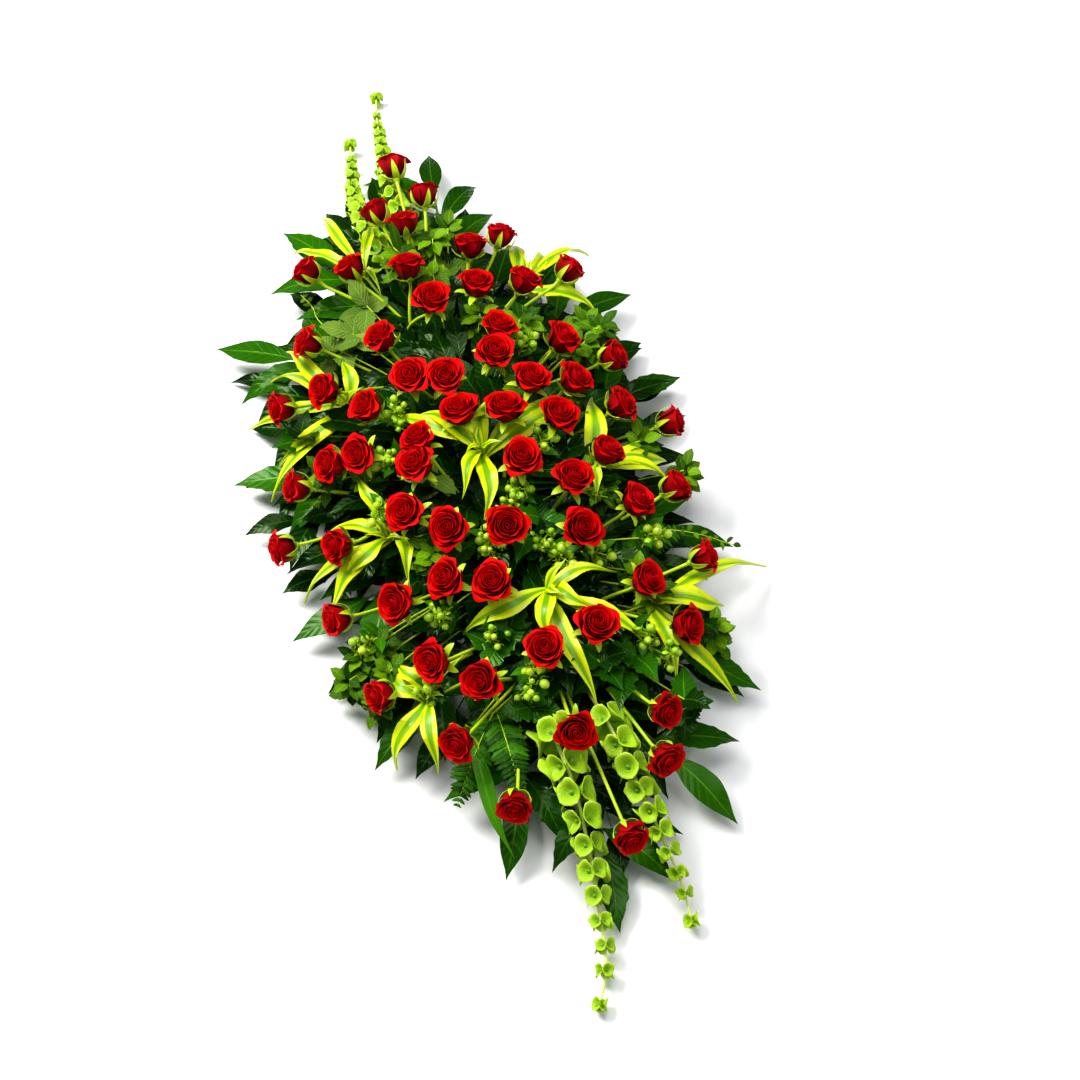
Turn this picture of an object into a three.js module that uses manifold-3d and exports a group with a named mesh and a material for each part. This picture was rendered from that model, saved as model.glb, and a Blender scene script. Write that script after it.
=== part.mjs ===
// Casket spray: a long, low diamond of red roses, laurel, variegated blades, bells of Ireland,
// berry sprigs and fern, held in three bricks of wet foam that stand in one plastic tray.
// Millimetres. +X runs to the foot end, +Y to the right, +Z up.
// The origin is under the middle of the tray, on the surface that the tray stands on.
import * as THREE from "three";
import Module from "manifold-3d";

const wasm = await Module();
wasm.setup();

// Driving dimensions of the holder
const TRAY = { length: 715, width: 132, height: 40, wall: 2.5, lip: 6, lipHeight: 3, corner: 14 };
const FOAM = { length: 228, width: 108, height: 78, joint: 0.8, chamfer: 8 };
const TAPE = { width: 12, thickness: 0.7, reach: 26 };
const GAP = 0.35;

// Driving dimensions of the flowers and leaves
const MOUND = { edge: 50, rise: 170, halfLength: 800, halfWidth: 400 };
const ROSE = { open: 34, bud: 26, stem: 2.9, petals: 5, bunch: 8.4, apart: 3.6, fork: 45 };
const LEAF = { thickness: 0.9, fold: 0.16 };
const LAUREL = { length: 125, width: 44, arch: 18, step: 36, spread: 46, stem: 2.6, tip: 1.8 };
const BLADE = { width: 24, arch: 24, stem: 2.6, step: 5 };
const BELL = { wide: 20, narrow: 7, wall: 0.9, stem: 2.6, tip: 1.2, round: 3, sides: 4 };
const BERRY = { radius: 5.5, out: 6, turn: 2.4, step: 6, stem: 1.8, tip: 1.6 };
const FERN = { width: 62, arch: 16, stem: 1.8, leaflets: 5, step: 8 };
const INSERT = { low: 42, high: 60, collar: 50 };

const foamBottom = TRAY.wall + GAP;
const foamTop = foamBottom + FOAM.height;
const UP = new THREE.Vector3(0, 0, 1);

// Finishes
const finish = (color, roughness) => new THREE.MeshStandardMaterial({ color, roughness, metalness: 0 });
const finishes = {
  tray: finish("#1d4a2a", 0.45),
  foam: finish("#2f5d3a", 0.95),
  tape: finish("#2a5a34", 0.5),
  rose: finish("#b80a14", 0.6),
  laurel: finish("#1f5312", 0.3),
  variegated: finish("#a9bd2c", 0.45),
  bell: finish("#9cc63f", 0.6),
  berry: finish("#8fae2a", 0.25),
  fern: finish("#2f6a22", 0.6),
};

// Roses: where each bunch is pushed into the foam, and the middle of each head as seen from above.
// The third number is how far the flower has opened, from 0, a bud, to 1.
const ROSE_BUNCHES = {
  roses_head_end: {
    foam: [-325, 5],
    heads: [[-628, 24, 0.3], [-535, 50, 0.4], [-518, -35, 0.3], [-472, -3, 0.5]],
  },
  roses_head_left: {
    foam: [-285, -30],
    heads: [[-442, -172, 0.3], [-407, -108, 0.4], [-368, -24, 0.6], [-282, -8, 0.9]],
  },
  roses_head_right: { foam: [-290, 34], heads: [[-386, 84, 0.5], [-405, 142, 0.4]] },
  roses_shoulder_right: { foam: [-240, 36], heads: [[-294, 67, 0.8], [-289, 144, 0.5], [-317, 228, 0.3]] },
  roses_shoulder_left: {
    foam: [-215, -38],
    heads: [[-292, -209, 0.3], [-188, -209, 0.6], [-202, -277, 0.2]],
  },
  roses_upper_left: { foam: [-160, -18], heads: [[-238, -104, 0.6], [-143, -84, 0.9], [-121, -34, 0.9]] },
  roses_upper_middle: { foam: [-165, 18], heads: [[-194, 73, 0.5], [-145, 52, 0.9]] },
  roses_upper_right: { foam: [-142, 40], heads: [[-157, 163, 0.6], [-120, 234, 0.4]] },
  roses_side_left: { foam: [-88, -38], heads: [[-122, -160, 0.5], [-46, -193, 0.9], [-56, -236, 0.6]] },
  roses_inner_right: { foam: [-80, 30], heads: [[-82, 89, 0.7], [-72, 155, 0.6]] },
  roses_crown: { foam: [20, 10], heads: [[-56, -34, 1], [-38, 34, 1], [56, 30, 1], [160, -26, 1]] },
  roses_side_right: { foam: [-20, 40], heads: [[-8, 109, 0.9], [-21, 212, 0.5], [9, 284, 0.3]] },
  roses_middle_left: {
    foam: [40, -20],
    heads: [[-30, -105, 0.7], [10, -121, 1], [80, -157, 1], [131, -106, 1]],
  },
  roses_middle_right: { foam: [92, 32], heads: [[66, 160, 0.5], [106, 94, 1], [192, 79, 1]] },
  roses_lower_right: { foam: [150, 40], heads: [[156, 176, 0.7], [131, 246, 0.4]] },
  roses_rim_left: { foam: [0, -42], heads: [[-55, -293, 0.3], [26, -338, 0.2], [77, -262, 0.5]] },
  roses_lower_middle: { foam: [190, -16], heads: [[205, -132, 0.9], [236, -72, 1]] },
  roses_rim_right: { foam: [235, 38], heads: [[253, 249, 0.2], [287, 146, 0.7], [363, 182, 0.6]] },
  roses_lower_left: { foam: [145, -38], heads: [[206, -209, 0.9], [181, -295, 0.3]] },
  roses_foot_right: { foam: [300, 22], heads: [[341, 52, 1], [483, 106, 0.4], [548, 84, 0.4]] },
  roses_foot_end: { foam: [325, -8], heads: [[355, -32, 0.9], [480, -27, 0.8], [638, 2, 0.4]] },
  roses_foot_left: { foam: [250, -38], heads: [[312, -186, 0.8], [320, -269, 0.4]] },
  roses_foot_rim: { foam: [305, -34], heads: [[368, -130, 0.8], [436, -186, 0.5], [548, -137, 0.4]] },
};

// Laurel: the woody stem's route and its number of leaves. The last leaf ends the stem.
const LAUREL_SPRAYS = {
  laurel_head_right: { stem: [[-316, 16, 50], [-430, 56, 54], [-612, 86, 44]], leaves: 5 },
  laurel_head_left: { stem: [[-318, -14, 50], [-400, -62, 62], [-490, -108, 58]], leaves: 4 },
  laurel_shoulder_left: { stem: [[-236, -30, 50], [-262, -110, 62], [-340, -228, 56]], leaves: 4 },
  laurel_side_left: { stem: [[-60, -30, 50], [-80, -120, 60], [-112, -240, 56]], leaves: 5 },
  laurel_rim_left: { stem: [[72, -30, 50], [98, -120, 60], [122, -235, 54]], leaves: 5 },
  laurel_foot_left: { stem: [[215, -30, 50], [252, -105, 60], [322, -205, 54]], leaves: 4 },
  laurel_foot_end_left: { stem: [[318, -20, 50], [420, -72, 54], [508, -118, 44]], leaves: 4 },
  laurel_foot_end: { stem: [[322, 2, 50], [450, -2, 42], [615, -24, 26]], leaves: 3 },
  laurel_foot_end_right: { stem: [[312, 28, 50], [420, 66, 56], [508, 112, 46]], leaves: 4 },
  laurel_foot_right: { stem: [[228, 30, 50], [268, 95, 60], [345, 178, 56]], leaves: 4 },
  laurel_rim_right: { stem: [[72, 30, 50], [105, 115, 60], [146, 218, 56]], leaves: 5 },
  laurel_side_right: { stem: [[-60, 30, 50], [-78, 120, 60], [-112, 248, 54]], leaves: 5 },
  laurel_shoulder_right: { stem: [[-252, 30, 50], [-258, 115, 60], [-288, 225, 54]], leaves: 4 },
};

// Variegated blades: where the shoot is pushed into the foam, its crown, and the tip of each blade.
const BLADE_SHOOTS = {
  blades_crown: {
    foam: [-8, -12], crown: [-5, -14, 176],
    tips: [[-146, -93, 156], [-120, -62, 182], [60, -72, 172], [116, -42, 170], [-90, 10, 200],
      [-84, 120, 160],
      [-52, 146, 148]],
  },
  blades_lower: {
    foam: [215, 6], crown: [250, 4, 160],
    tips: [[258, -124, 138], [330, -18, 150], [429, 32, 124], [372, 134, 118], [236, 112, 150],
      [300, 60, 160]],
  },
  blades_shoulder_left: {
    foam: [-188, -40], crown: [-185, -180, 112],
    tips: [[-337, -244, 78], [-306, -272, 68], [-262, -150, 124], [-222, -330, 46], [-128, -296, 72],
      [-100, -328, 54]],
  },
  blades_side_left: {
    foam: [62, -40], crown: [72, -188, 122],
    tips: [[100, -265, 96], [86, -325, 56], [128, -302, 70], [-46, -200, 128], [165, -170, 136],
      [12, -270, 84]],
  },
  blades_foot_left: {
    foam: [283, -44], crown: [338, -208, 96],
    tips: [[302, -262, 74], [404, -272, 48], [436, -226, 66], [270, -232, 96]],
  },
  blades_foot_right: {
    foam: [268, 36], crown: [292, 160, 116],
    tips: [[212, 362, 30], [308, 262, 76], [458, 222, 62], [420, 150, 98]],
  },
  blades_side_right: {
    foam: [45, 38], crown: [58, 142, 142],
    tips: [[88, 262, 98], [52, 262, 96], [-70, 192, 130], [122, 128, 158]],
  },
  blades_head_right: {
    foam: [-268, 38], crown: [-330, 160, 112],
    tips: [[-420, 288, 40], [-430, 156, 92], [-400, 222, 66], [-268, 268, 74]],
  },
  blades_head_left: {
    foam: [-285, -20], crown: [-440, -82, 100],
    tips: [[-608, -114, 56], [-540, -40, 84], [-372, -74, 132], [-560, -170, 48]],
  },
};

// Bells of Ireland: each spike's route from the foam to its tip, and where its bells begin.
const BELL_SPIKES = {
  bells_foot_left: {
    stem: [[322, -24, 56], [385, -44, 92], [440, -50, 104], [516, -44, 90], [600, -48, 58], [693, -62, 34],
      [765, -75, 24], [824, -104, 14]],
    from: 0.26, whorls: 9,
  },
  bells_foot_right: {
    stem: [[326, 16, 56], [400, 24, 90], [470, 31, 108], [562, 44, 84], [628, 54, 56], [690, 61, 34],
      [748, 57, 18]],
    from: 0.36, whorls: 6,
  },
  bells_head_left: {
    stem: [[-322, -18, 56], [-420, -36, 72], [-503, -43, 76], [-579, -47, 62], [-628, -46, 50], [-718, -27, 34],
      [-774, -14, 24]],
    from: 0.55, whorls: 4,
  },
  bells_head_right: {
    stem: [[-330, 24, 56], [-430, 26, 64], [-540, 21, 66], [-621, 15, 60], [-724, 29, 42], [-780, 38, 32],
      [-829, 47, 24], [-868, 58, 18]],
    from: 0.5, whorls: 5,
  },
};

// Berry sprigs: where each is pushed in, and the middle of each cluster with its number of berries.
const BERRY_SPRIGS = {
  berries_crown: { foam: [138, 12], clusters: [[98, 2, 188, 4], [170, -64, 182, 3], [190, 24, 182, 3]] },
  berries_left: { foam: [-92, -22], clusters: [[-94, -122, 172, 4], [-30, -152, 168, 3]] },
  berries_foot: { foam: [276, -14], clusters: [[404, -74, 150, 4], [296, -98, 156, 3]] },
};

// Fern: where each frond pair is pushed in, where the fronds spread, and their tips.
const FERN_FRONDS = {
  fern_foot: { foam: [326, -42], crown: [385, -120, 92], tips: [[478, -215, 60], [520, -120, 92]] },
  fern_side: { foam: [196, 44], crown: [204, 118, 104], tips: [[300, 222, 58], [165, 250, 78]] },
};

// A repeatable number from 0 to 1 for each whole number
const chance = (n) => {
  const wave = Math.sin(n * 12.9898) * 43758.5453;
  return wave - Math.floor(wave);
};

const point = ([x, y, z]) => new THREE.Vector3(x, y, z);

// Height of a rose's middle above the table, over the point (x, y) of the mound
const moundHeight = (x, y) =>
  MOUND.edge + MOUND.rise * Math.max(0, 1 - (x / MOUND.halfLength) ** 2 - (y / MOUND.halfWidth) ** 2);

// Closed solids from points and triangles
function solid(points, faces) {
  const signed = faces.reduce((sum, [a, b, c]) => {
    const normal = new THREE.Vector3().crossVectors(points[b], points[c]);
    return sum + points[a].dot(normal);
  }, 0);
  const outward = signed > 0 ? faces : faces.map(([a, b, c]) => [a, c, b]);
  return new wasm.Manifold(new wasm.Mesh({
    numProp: 3,
    vertProperties: new Float32Array(points.flatMap((p) => [p.x, p.y, p.z])),
    triVerts: new Uint32Array(outward.flat()),
  }));
}

// The faces between two neighbouring rings of any counts, where a ring of one is a point
function band(lower, upper) {
  const faces = [];
  let i = 0;
  let j = 0;
  while (i < lower.length || j < upper.length) {
    const a = lower[i % lower.length];
    const b = upper[j % upper.length];
    const lowerFirst = (i + 0.5) / lower.length <= (j + 0.5) / upper.length;
    if (upper.length === 1 || (lower.length > 1 && lowerFirst && i < lower.length)) {
      i++;
      faces.push([a, lower[i % lower.length], b]);
      if (upper.length === 1 && i === lower.length) break;
    } else {
      j++;
      faces.push([a, upper[j % upper.length], b]);
      if (lower.length === 1 && j === upper.length) break;
    }
  }
  return faces;
}

// A closed skin over a row of rings, with flat ends where the last rings aren't points
function skin(rings) {
  const points = rings.flat();
  let next = 0;
  const numbered = rings.map((ring) => ring.map(() => next++));
  const faces = numbered.slice(1).flatMap((ring, i) => band(numbered[i], ring));
  const cap = (ring, flip) => {
    for (let k = 1; k + 1 < ring.length; k++) {
      faces.push(flip ? [ring[0], ring[k + 1], ring[k]] : [ring[0], ring[k], ring[k + 1]]);
    }
  };
  cap(numbered[0], true);
  cap(numbered[numbered.length - 1], false);
  return solid(points, faces);
}

// Two directions square to an axis, the same way round for like axes
function across(axis) {
  const guide = Math.abs(axis.z) > 0.9 ? new THREE.Vector3(1, 0, 0) : UP;
  const side = new THREE.Vector3().crossVectors(guide, axis).normalize();
  return [side, new THREE.Vector3().crossVectors(axis, side)];
}

// A ring of points round a centre: each step gives its own radius and height
function ring(centre, axis, count, turn, radiusAt, heightAt = () => 0) {
  const [side, rise] = across(axis);
  return Array.from({ length: count }, (_, k) => {
    const angle = turn + (2 * Math.PI * k) / count;
    return centre.clone()
      .addScaledVector(side, Math.cos(angle) * radiusAt(k))
      .addScaledVector(rise, Math.sin(angle) * radiusAt(k))
      .addScaledVector(axis, heightAt(k));
  });
}

// A stem: a rod with flat sides through the given points
function rod(points, startRadius, endRadius, sides, grow = 0) {
  const last = points.length - 1;
  return skin(points.map((p, i) => {
    const ahead = points[Math.min(i + 1, last)];
    const behind = points[Math.max(i - 1, 0)];
    const axis = ahead.clone().sub(behind).normalize();
    const radius = THREE.MathUtils.lerp(startRadius, endRadius, i / last) + grow;
    const past = i === 0 ? -grow : i === last ? grow : 0;
    return ring(p.clone().addScaledVector(axis, past), axis, sides, Math.PI / 4, () => radius);
  }));
}

// A leaf: one thin arched blade, folded along its rib, with the same triangles on both faces.
// Each station is a share of the length, a share of the half width, and the lift of its edge.
function leaf({ root, tip, width, arch, stations, rib = true, fold = LEAF.fold }, grow = 0) {
  const run = tip.clone().sub(root);
  const along = run.clone().normalize();
  const side = new THREE.Vector3().crossVectors(along, UP).normalize();
  const normal = new THREE.Vector3().crossVectors(side, along).normalize();
  const half = LEAF.thickness / 2 + grow;
  const centreAt = (t) => root.clone().addScaledVector(run, t).addScaledVector(normal, 4 * arch * t * (1 - t));
  const middle = stations.flatMap(([t, share, lift = 0]) => {
    const reach = (share * width) / 2 + 1.3 * grow;
    const edge = (sign) => centreAt(t)
      .addScaledVector(side, sign * reach)
      .addScaledVector(normal, fold * reach + lift * sign);
    return rib ? [edge(-1), centreAt(t), edge(1)] : [edge(-1), edge(1)];
  });
  const shifted = (amount) => middle.map((p) => p.clone().addScaledVector(normal, amount));
  const row = rib ? 3 : 2;
  const [first, last] = [0, (stations.length - 1) * row];
  const endAt = (t, from) => {
    const inner = rib ? middle[from + 1] : middle[from].clone().lerp(middle[from + 1], 0.5);
    const end = centreAt(t);
    return end.addScaledVector(end.clone().sub(inner).normalize(), 3 * grow);
  };
  const points = [endAt(0, first), endAt(1, last), ...shifted(half), ...shifted(-half)];
  const face = [];
  for (let k = 0; k + 1 < row; k++) {
    face.push([-2, first + k, first + k + 1], [last + k, -1, last + k + 1]);
    for (let a = first + k; a < last; a += row) {
      const b = a + row;
      face.push(...(k ? [[a, b, a + 1], [a + 1, b, b + 1]] : [[a, b, b + 1], [a, b + 1, a + 1]]));
    }
  }
  const number = (k, offset) => (k < 0 ? k + 2 : k + 2 + offset);
  const upper = face.map((corners) => corners.map((k) => number(k, 0)));
  const lower = face.map(([a, b, c]) => [a, c, b].map((k) => number(k, middle.length)));
  const rim = [];
  for (let a = first; a <= last; a += row) rim.push(a);
  rim.push(-1);
  for (let a = last; a >= first; a -= row) rim.push(a + row - 1);
  rim.push(-2);
  const wall = rim.flatMap((a, i) => {
    const b = rim[(i + 1) % rim.length];
    const [topA, topB] = [number(a, 0), number(b, 0)];
    const [lowA, lowB] = [number(a, middle.length), number(b, middle.length)];
    return [[topB, topA, lowA], [topB, lowA, lowB]].filter(([p, q, r]) => p !== q && q !== r && r !== p);
  });
  return solid(points, [...upper, ...lower, ...wall]);
}

// The stations of a frond whose leaflets are cut to the rib
function leafletStations(count) {
  const stations = [[0.1, 0.08]];
  for (let i = 0; i < count; i++) {
    const start = 0.14 + (0.84 * i) / count;
    const share = Math.sin(Math.PI * (0.25 + (0.72 * i) / count)) ** 0.8;
    stations.push([start + 0.62 / count, share], [start + 0.74 / count, 0.09]);
  }
  return stations;
}

const LAUREL_STATIONS = [[0.3, 0.8, 0], [0.56, 1, 0.8], [0.8, 0.62, -0.8]];
const BLADE_STATIONS = [[0.3, 0.84], [0.55, 1], [0.8, 0.6]];

// Rose heads are the obstacles that leaves bend clear of
const heads = [];
function roseHead([x, y, open], foam) {
  const middle = new THREE.Vector3(x, y, moundHeight(x, y));
  const spread = Math.abs(foam[1]) > 29 || Math.abs(foam[0]) > 290;
  const foot = new THREE.Vector3(foam[0], foam[1], spread ? INSERT.high : INSERT.low);
  const axis = middle.clone().sub(foot).normalize();
  axis.addScaledVector(UP, 0.35 * open).normalize();
  const radius = THREE.MathUtils.lerp(ROSE.bud, ROSE.open, open);
  return { middle, foot, axis, open, radius };
}
const bunches = Object.entries(ROSE_BUNCHES).map(([name, { foam, heads: list }]) => {
  const roses = list.map((entry) => roseHead(entry, foam));
  heads.push(...roses);
  const lean = new THREE.Vector3();
  roses.forEach(({ middle, foot: from }) => lean.add(middle.clone().sub(from).normalize()));
  const fork = roses[0].foot.clone().addScaledVector(lean.normalize(), ROSE.fork);
  return { name, roses, foot: roses[0].foot, fork };
});

// Turns and lifts a leaf's tip, a little at a time, until its rib is clear of every rose head
function bendClear(root, tip, width, arch) {
  let best = null;
  for (const lift of [0, 14, -14, 28]) {
    for (const turn of [0, 6, -6, 12, -12, 18, -18]) {
      const run = tip.clone().sub(root).applyAxisAngle(UP, (turn * Math.PI) / 180);
      run.z += lift;
      if (root.z + run.z < 12) continue;
      let clash = 0.02 * Math.abs(turn) + 0.01 * Math.abs(lift);
      for (const t of [0.25, 0.4, 0.55, 0.7, 0.85, 1]) {
        const spot = root.clone().addScaledVector(run, t);
        spot.z += 4 * arch * t * (1 - t);
        const room = 2 + 0.35 * width * Math.sin(Math.PI * Math.min(t, 0.9));
        heads.forEach(({ middle, radius }) => {
          clash += Math.max(0, radius + room - spot.distanceTo(middle));
        });
      }
      if (!best || clash < best.clash) best = { clash, tip: root.clone().add(run) };
    }
  }
  return best.tip;
}

// A rose: stem, spread sepals and petals in layers, as one skin of rings up the flower's axis
function rose({ middle, axis, open, radius }, fork, apart, seed, grow = 0) {
  const turn = seed * 1.7;
  const size = radius + grow;
  const mix = (closed, opened) => THREE.MathUtils.lerp(closed, opened, open);
  const neck = middle.clone().addScaledVector(axis, -size * mix(1.15, 0.9));
  const down = fork.clone().sub(neck).normalize();
  const start = fork.clone().addScaledVector(apart, ROSE.apart).addScaledVector(down, 5);
  const stem = ROSE.stem + grow;
  const circle = (share, height) =>
    ring(middle, axis, ROSE.petals, turn, () => share * size, () => height * size);
  const lobes = (share, height, between, lower, shift = 0) =>
    ring(middle, axis, 2 * ROSE.petals, turn + shift,
      (k) => (k % 2 ? between : share) * size, (k) => (k % 2 ? lower : height) * size);
  const rings = [
    ring(start, down.clone().negate(), 3, turn, () => stem),
    ring(neck, axis, 3, turn, () => stem),
  ];
  rings.push(circle(mix(0.72, 0.84), mix(-0.35, -0.28)));
  rings.push(lobes(mix(0.8, 1.04), mix(0.42, 0.26), mix(0.72, 0.8), mix(0.22, 0.06)));
  rings.push(circle(mix(0.52, 0.62), mix(0.3, 0.06)));
  const half = Math.PI / ROSE.petals;
  rings.push(lobes(mix(0.5, 0.7), mix(0.72, 0.48), mix(0.42, 0.52), mix(0.58, 0.32), half));
  if (open < 0.85) {
    rings.push([middle.clone().addScaledVector(axis, size * 0.4)]);
  } else {
    rings.push(circle(0.36, 0.24), circle(0.32, 0.58));
    rings.push([middle.clone().addScaledVector(axis, size * 0.38)]);
  }
  return skin(rings);
}

// One cup of a bell of Ireland: a thin cone with few sides, open outwards
function bell(start, axis, radius, grow = 0) {
  const length = radius * 1.25;
  const wide = radius + grow;
  const mouth = start.clone().addScaledVector(axis, length + grow);
  const inner = grow ? 0.25 : 0.62;
  return skin([
    [start.clone().addScaledVector(axis, -grow)],
    ring(mouth, axis, BELL.sides, 0.3, () => wide),
    ring(mouth, axis, BELL.sides, 0.3, () => wide - BELL.wall),
    [start.clone().addScaledVector(axis, length * (1 - inner))],
  ]);
}

// A berry: a round fruit with four flat sides and a point
function berry(middle, axis, grow = 0) {
  const size = BERRY.radius + grow;
  const rim = (height) => ring(middle, axis, 4, 0, () => 0.88 * size, () => height * size);
  const pole = (sign) => [middle.clone().addScaledVector(axis, sign * size)];
  return skin([pole(-1), rim(-0.4), rim(0.4), pole(1)]);
}

// The point at a share of a stem's straight joints
const onStem = (joints, share) => {
  const place = share * (joints.length - 1);
  const i = Math.min(Math.floor(place), joints.length - 2);
  return joints[i].clone().lerp(joints[i + 1], place - i);
};

// The arrangement as it grows: each node keeps its pieces, and the same pieces a gap larger
const nodes = [];
function addNode(name, material) {
  const node = { name, material, pieces: [], cleared: [] };
  nodes.push(node);
  return (make) => {
    node.pieces.push(make(0));
    node.cleared.push(make(GAP));
  };
}

// A smooth stem through hand-set points, and the point at any share of it
const route = (points) => new THREE.CatmullRomCurve3(points.map(point), false, "catmullrom", 0.5);

bunches.forEach(({ name, roses, foot, fork }) => {
  const add = addNode(name, finishes.rose);
  add((grow) => rod([foot, fork], ROSE.bunch, ROSE.bunch, 4, grow));
  const lean = fork.clone().sub(foot).normalize();
  const [side, rise] = across(lean);
  const order = roses.map(({ middle }) => {
    const out = middle.clone().sub(fork);
    return Math.atan2(out.dot(rise), out.dot(side));
  });
  roses.forEach((head, k) => {
    const place = order.filter((angle) => angle < order[k]).length;
    const angle = order[0] + (2 * Math.PI * (place - order.filter((a) => a < order[0]).length)) / roses.length;
    const apart = side.clone().multiplyScalar(Math.cos(angle)).addScaledVector(rise, Math.sin(angle));
    add((grow) => rose(head, fork, apart, heads.indexOf(head), grow));
  });
});

Object.entries(BELL_SPIKES).forEach(([name, { stem, from, whorls }]) => {
  const add = addNode(name, finishes.bell);
  const line = route(stem);
  const joints = line.getSpacedPoints(8);
  add((grow) => rod(joints, BELL.stem, BELL.tip, 4, grow));
  for (let i = 0; i < whorls; i++) {
    const share = i / (whorls - 1);
    const at = from + (0.995 - from) * share ** 0.9;
    const centre = onStem(joints, at);
    const along = line.getTangentAt(at);
    const skinDepth = 0.35 * THREE.MathUtils.lerp(BELL.stem, BELL.tip, at);
    const radius = THREE.MathUtils.lerp(BELL.wide, BELL.narrow, share);
    const [side, rise] = across(along);
    for (let k = 0; k < BELL.round; k++) {
      const angle = ((k + 0.5 * (i % 2)) * 2 * Math.PI) / BELL.round + 0.5;
      const out = new THREE.Vector3()
        .addScaledVector(side, Math.cos(angle))
        .addScaledVector(rise, Math.sin(angle))
        .addScaledVector(along, 0.55)
        .normalize();
      if (centre.z + out.z * radius * 1.25 - radius * 0.8 < 2) continue;
      add((grow) => bell(centre.clone().addScaledVector(out, skinDepth), out, radius, grow));
    }
  }
});

Object.entries(BLADE_SHOOTS).forEach(([name, { foam, crown, tips }]) => {
  const add = addNode(name, finishes.variegated);
  const top = point(crown);
  const foot = new THREE.Vector3(foam[0], foam[1], INSERT.collar + 4);
  add((grow) => rod([foot, top], BLADE.stem, BLADE.stem, 3, grow));
  const down = foot.clone().sub(top).normalize();
  tips.forEach((entry, k) => {
    const root = top.clone().addScaledVector(down, 1 + BLADE.step * k);
    const tip = bendClear(root, point(entry), BLADE.width, BLADE.arch);
    add((grow) => leaf(
      { root, tip, width: BLADE.width, arch: BLADE.arch, stations: BLADE_STATIONS, rib: false }, grow));
  });
});

Object.entries(LAUREL_SPRAYS).forEach(([name, { stem, leaves }], index) => {
  const add = addNode(name, finishes.laurel);
  const line = route(stem);
  const joints = line.getSpacedPoints(3);
  add((grow) => rod(joints, LAUREL.stem, LAUREL.tip, 3, grow));
  for (let k = 0; k < leaves; k++) {
    const at = 0.985 - (k * LAUREL.step) / line.getLength();
    const vary = chance(10 * index + k);
    const centre = onStem(joints, at);
    const side = k ? (k % 2 ? 1 : -1) : 0;
    const angle = side * (LAUREL.spread + 10 * (vary - 0.5));
    const run = line.getTangentAt(at).setZ(0).normalize()
      .applyAxisAngle(UP, THREE.MathUtils.degToRad(angle))
      .multiplyScalar(LAUREL.length * (0.86 + 0.28 * vary));
    const root = centre.clone().addScaledVector(run, (k ? 1 : -3) / LAUREL.length);
    const width = LAUREL.width * (0.86 + 0.28 * vary);
    const end = root.clone().add(run).setZ(Math.max(16, root.z - 26 + 5 * k));
    const tip = bendClear(root, end, width, LAUREL.arch);
    add((grow) => leaf({ root, tip, width, arch: LAUREL.arch, stations: LAUREL_STATIONS }, grow));
  }
});

Object.entries(BERRY_SPRIGS).forEach(([name, { foam, clusters }]) => {
  const add = addNode(name, finishes.berry);
  const foot = new THREE.Vector3(foam[0], foam[1], INSERT.collar + 4);
  clusters.forEach(([x, y, z, count]) => {
    const end = new THREE.Vector3(x, y, z);
    const down = foot.clone().sub(end).normalize();
    add((grow) => rod([foot, end], BERRY.stem, BERRY.tip, 3, grow));
    const [side, rise] = across(down);
    for (let k = 0; k < count; k++) {
      const angle = BERRY.turn * k;
      const out = side.clone().multiplyScalar(Math.cos(angle)).addScaledVector(rise, Math.sin(angle));
      const middle = end.clone().addScaledVector(down, BERRY.step * k).addScaledVector(out, k ? BERRY.out : 0);
      add((grow) => berry(middle, out, grow));
    }
  });
});

Object.entries(FERN_FRONDS).forEach(([name, { foam, crown, tips }]) => {
  const add = addNode(name, finishes.fern);
  const top = point(crown);
  const foot = new THREE.Vector3(foam[0], foam[1], INSERT.collar + 4);
  add((grow) => rod([foot, top], FERN.stem, FERN.stem, 3, grow));
  const down = foot.clone().sub(top).normalize();
  tips.forEach((entry, k) => {
    const root = top.clone().addScaledVector(down, 2 + FERN.step * k);
    const tip = bendClear(root, point(entry), FERN.width, FERN.arch);
    add((grow) => leaf(
      { root, tip, width: FERN.width, arch: FERN.arch, stations: leafletStations(FERN.leaflets), rib: false },
      grow));
  });
});

// three.js shapes as solids
function closed(geometry) {
  const position = (geometry.index ? geometry.toNonIndexed() : geometry).getAttribute("position");
  const found = new Map();
  const points = [];
  const corners = Array.from({ length: position.count }, (_, i) => {
    const p = new THREE.Vector3().fromBufferAttribute(position, i);
    const key = p.toArray().map((value) => Math.round(value * 1e4)).join();
    if (!found.has(key)) found.set(key, points.push(p) - 1);
    return found.get(key);
  });
  const faces = [];
  for (let i = 0; i < corners.length; i += 3) faces.push(corners.slice(i, i + 3));
  return solid(points, faces.filter(([a, b, c]) => a !== b && b !== c && c !== a));
}

// A slab with rounded corners in plan
function slab(length, width, corner, bottom, top) {
  const [x, y] = [length / 2, width / 2];
  const outline = new THREE.Shape()
    .moveTo(-x + corner, -y)
    .lineTo(x - corner, -y)
    .absarc(x - corner, -y + corner, corner, -Math.PI / 2, 0)
    .absarc(x - corner, y - corner, corner, 0, Math.PI / 2)
    .absarc(-x + corner, y - corner, corner, Math.PI / 2, Math.PI)
    .absarc(-x + corner, -y + corner, corner, Math.PI, 1.5 * Math.PI);
  const depth = top - bottom;
  const shape = new THREE.ExtrudeGeometry(outline, { depth, bevelEnabled: false, curveSegments: 2 });
  return closed(shape.translate(0, 0, bottom));
}

function tray() {
  const { length, width, height, wall, lip, lipHeight, corner } = TRAY;
  const outside = slab(length, width, corner, 0, height);
  const rim = slab(length + 2 * lip, width + 2 * lip, corner + lip, height - lipHeight, height);
  const inside = slab(length - 2 * wall, width - 2 * wall, corner - wall, wall, height + 1);
  return outside.add(rim).subtract(inside);
}

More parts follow.
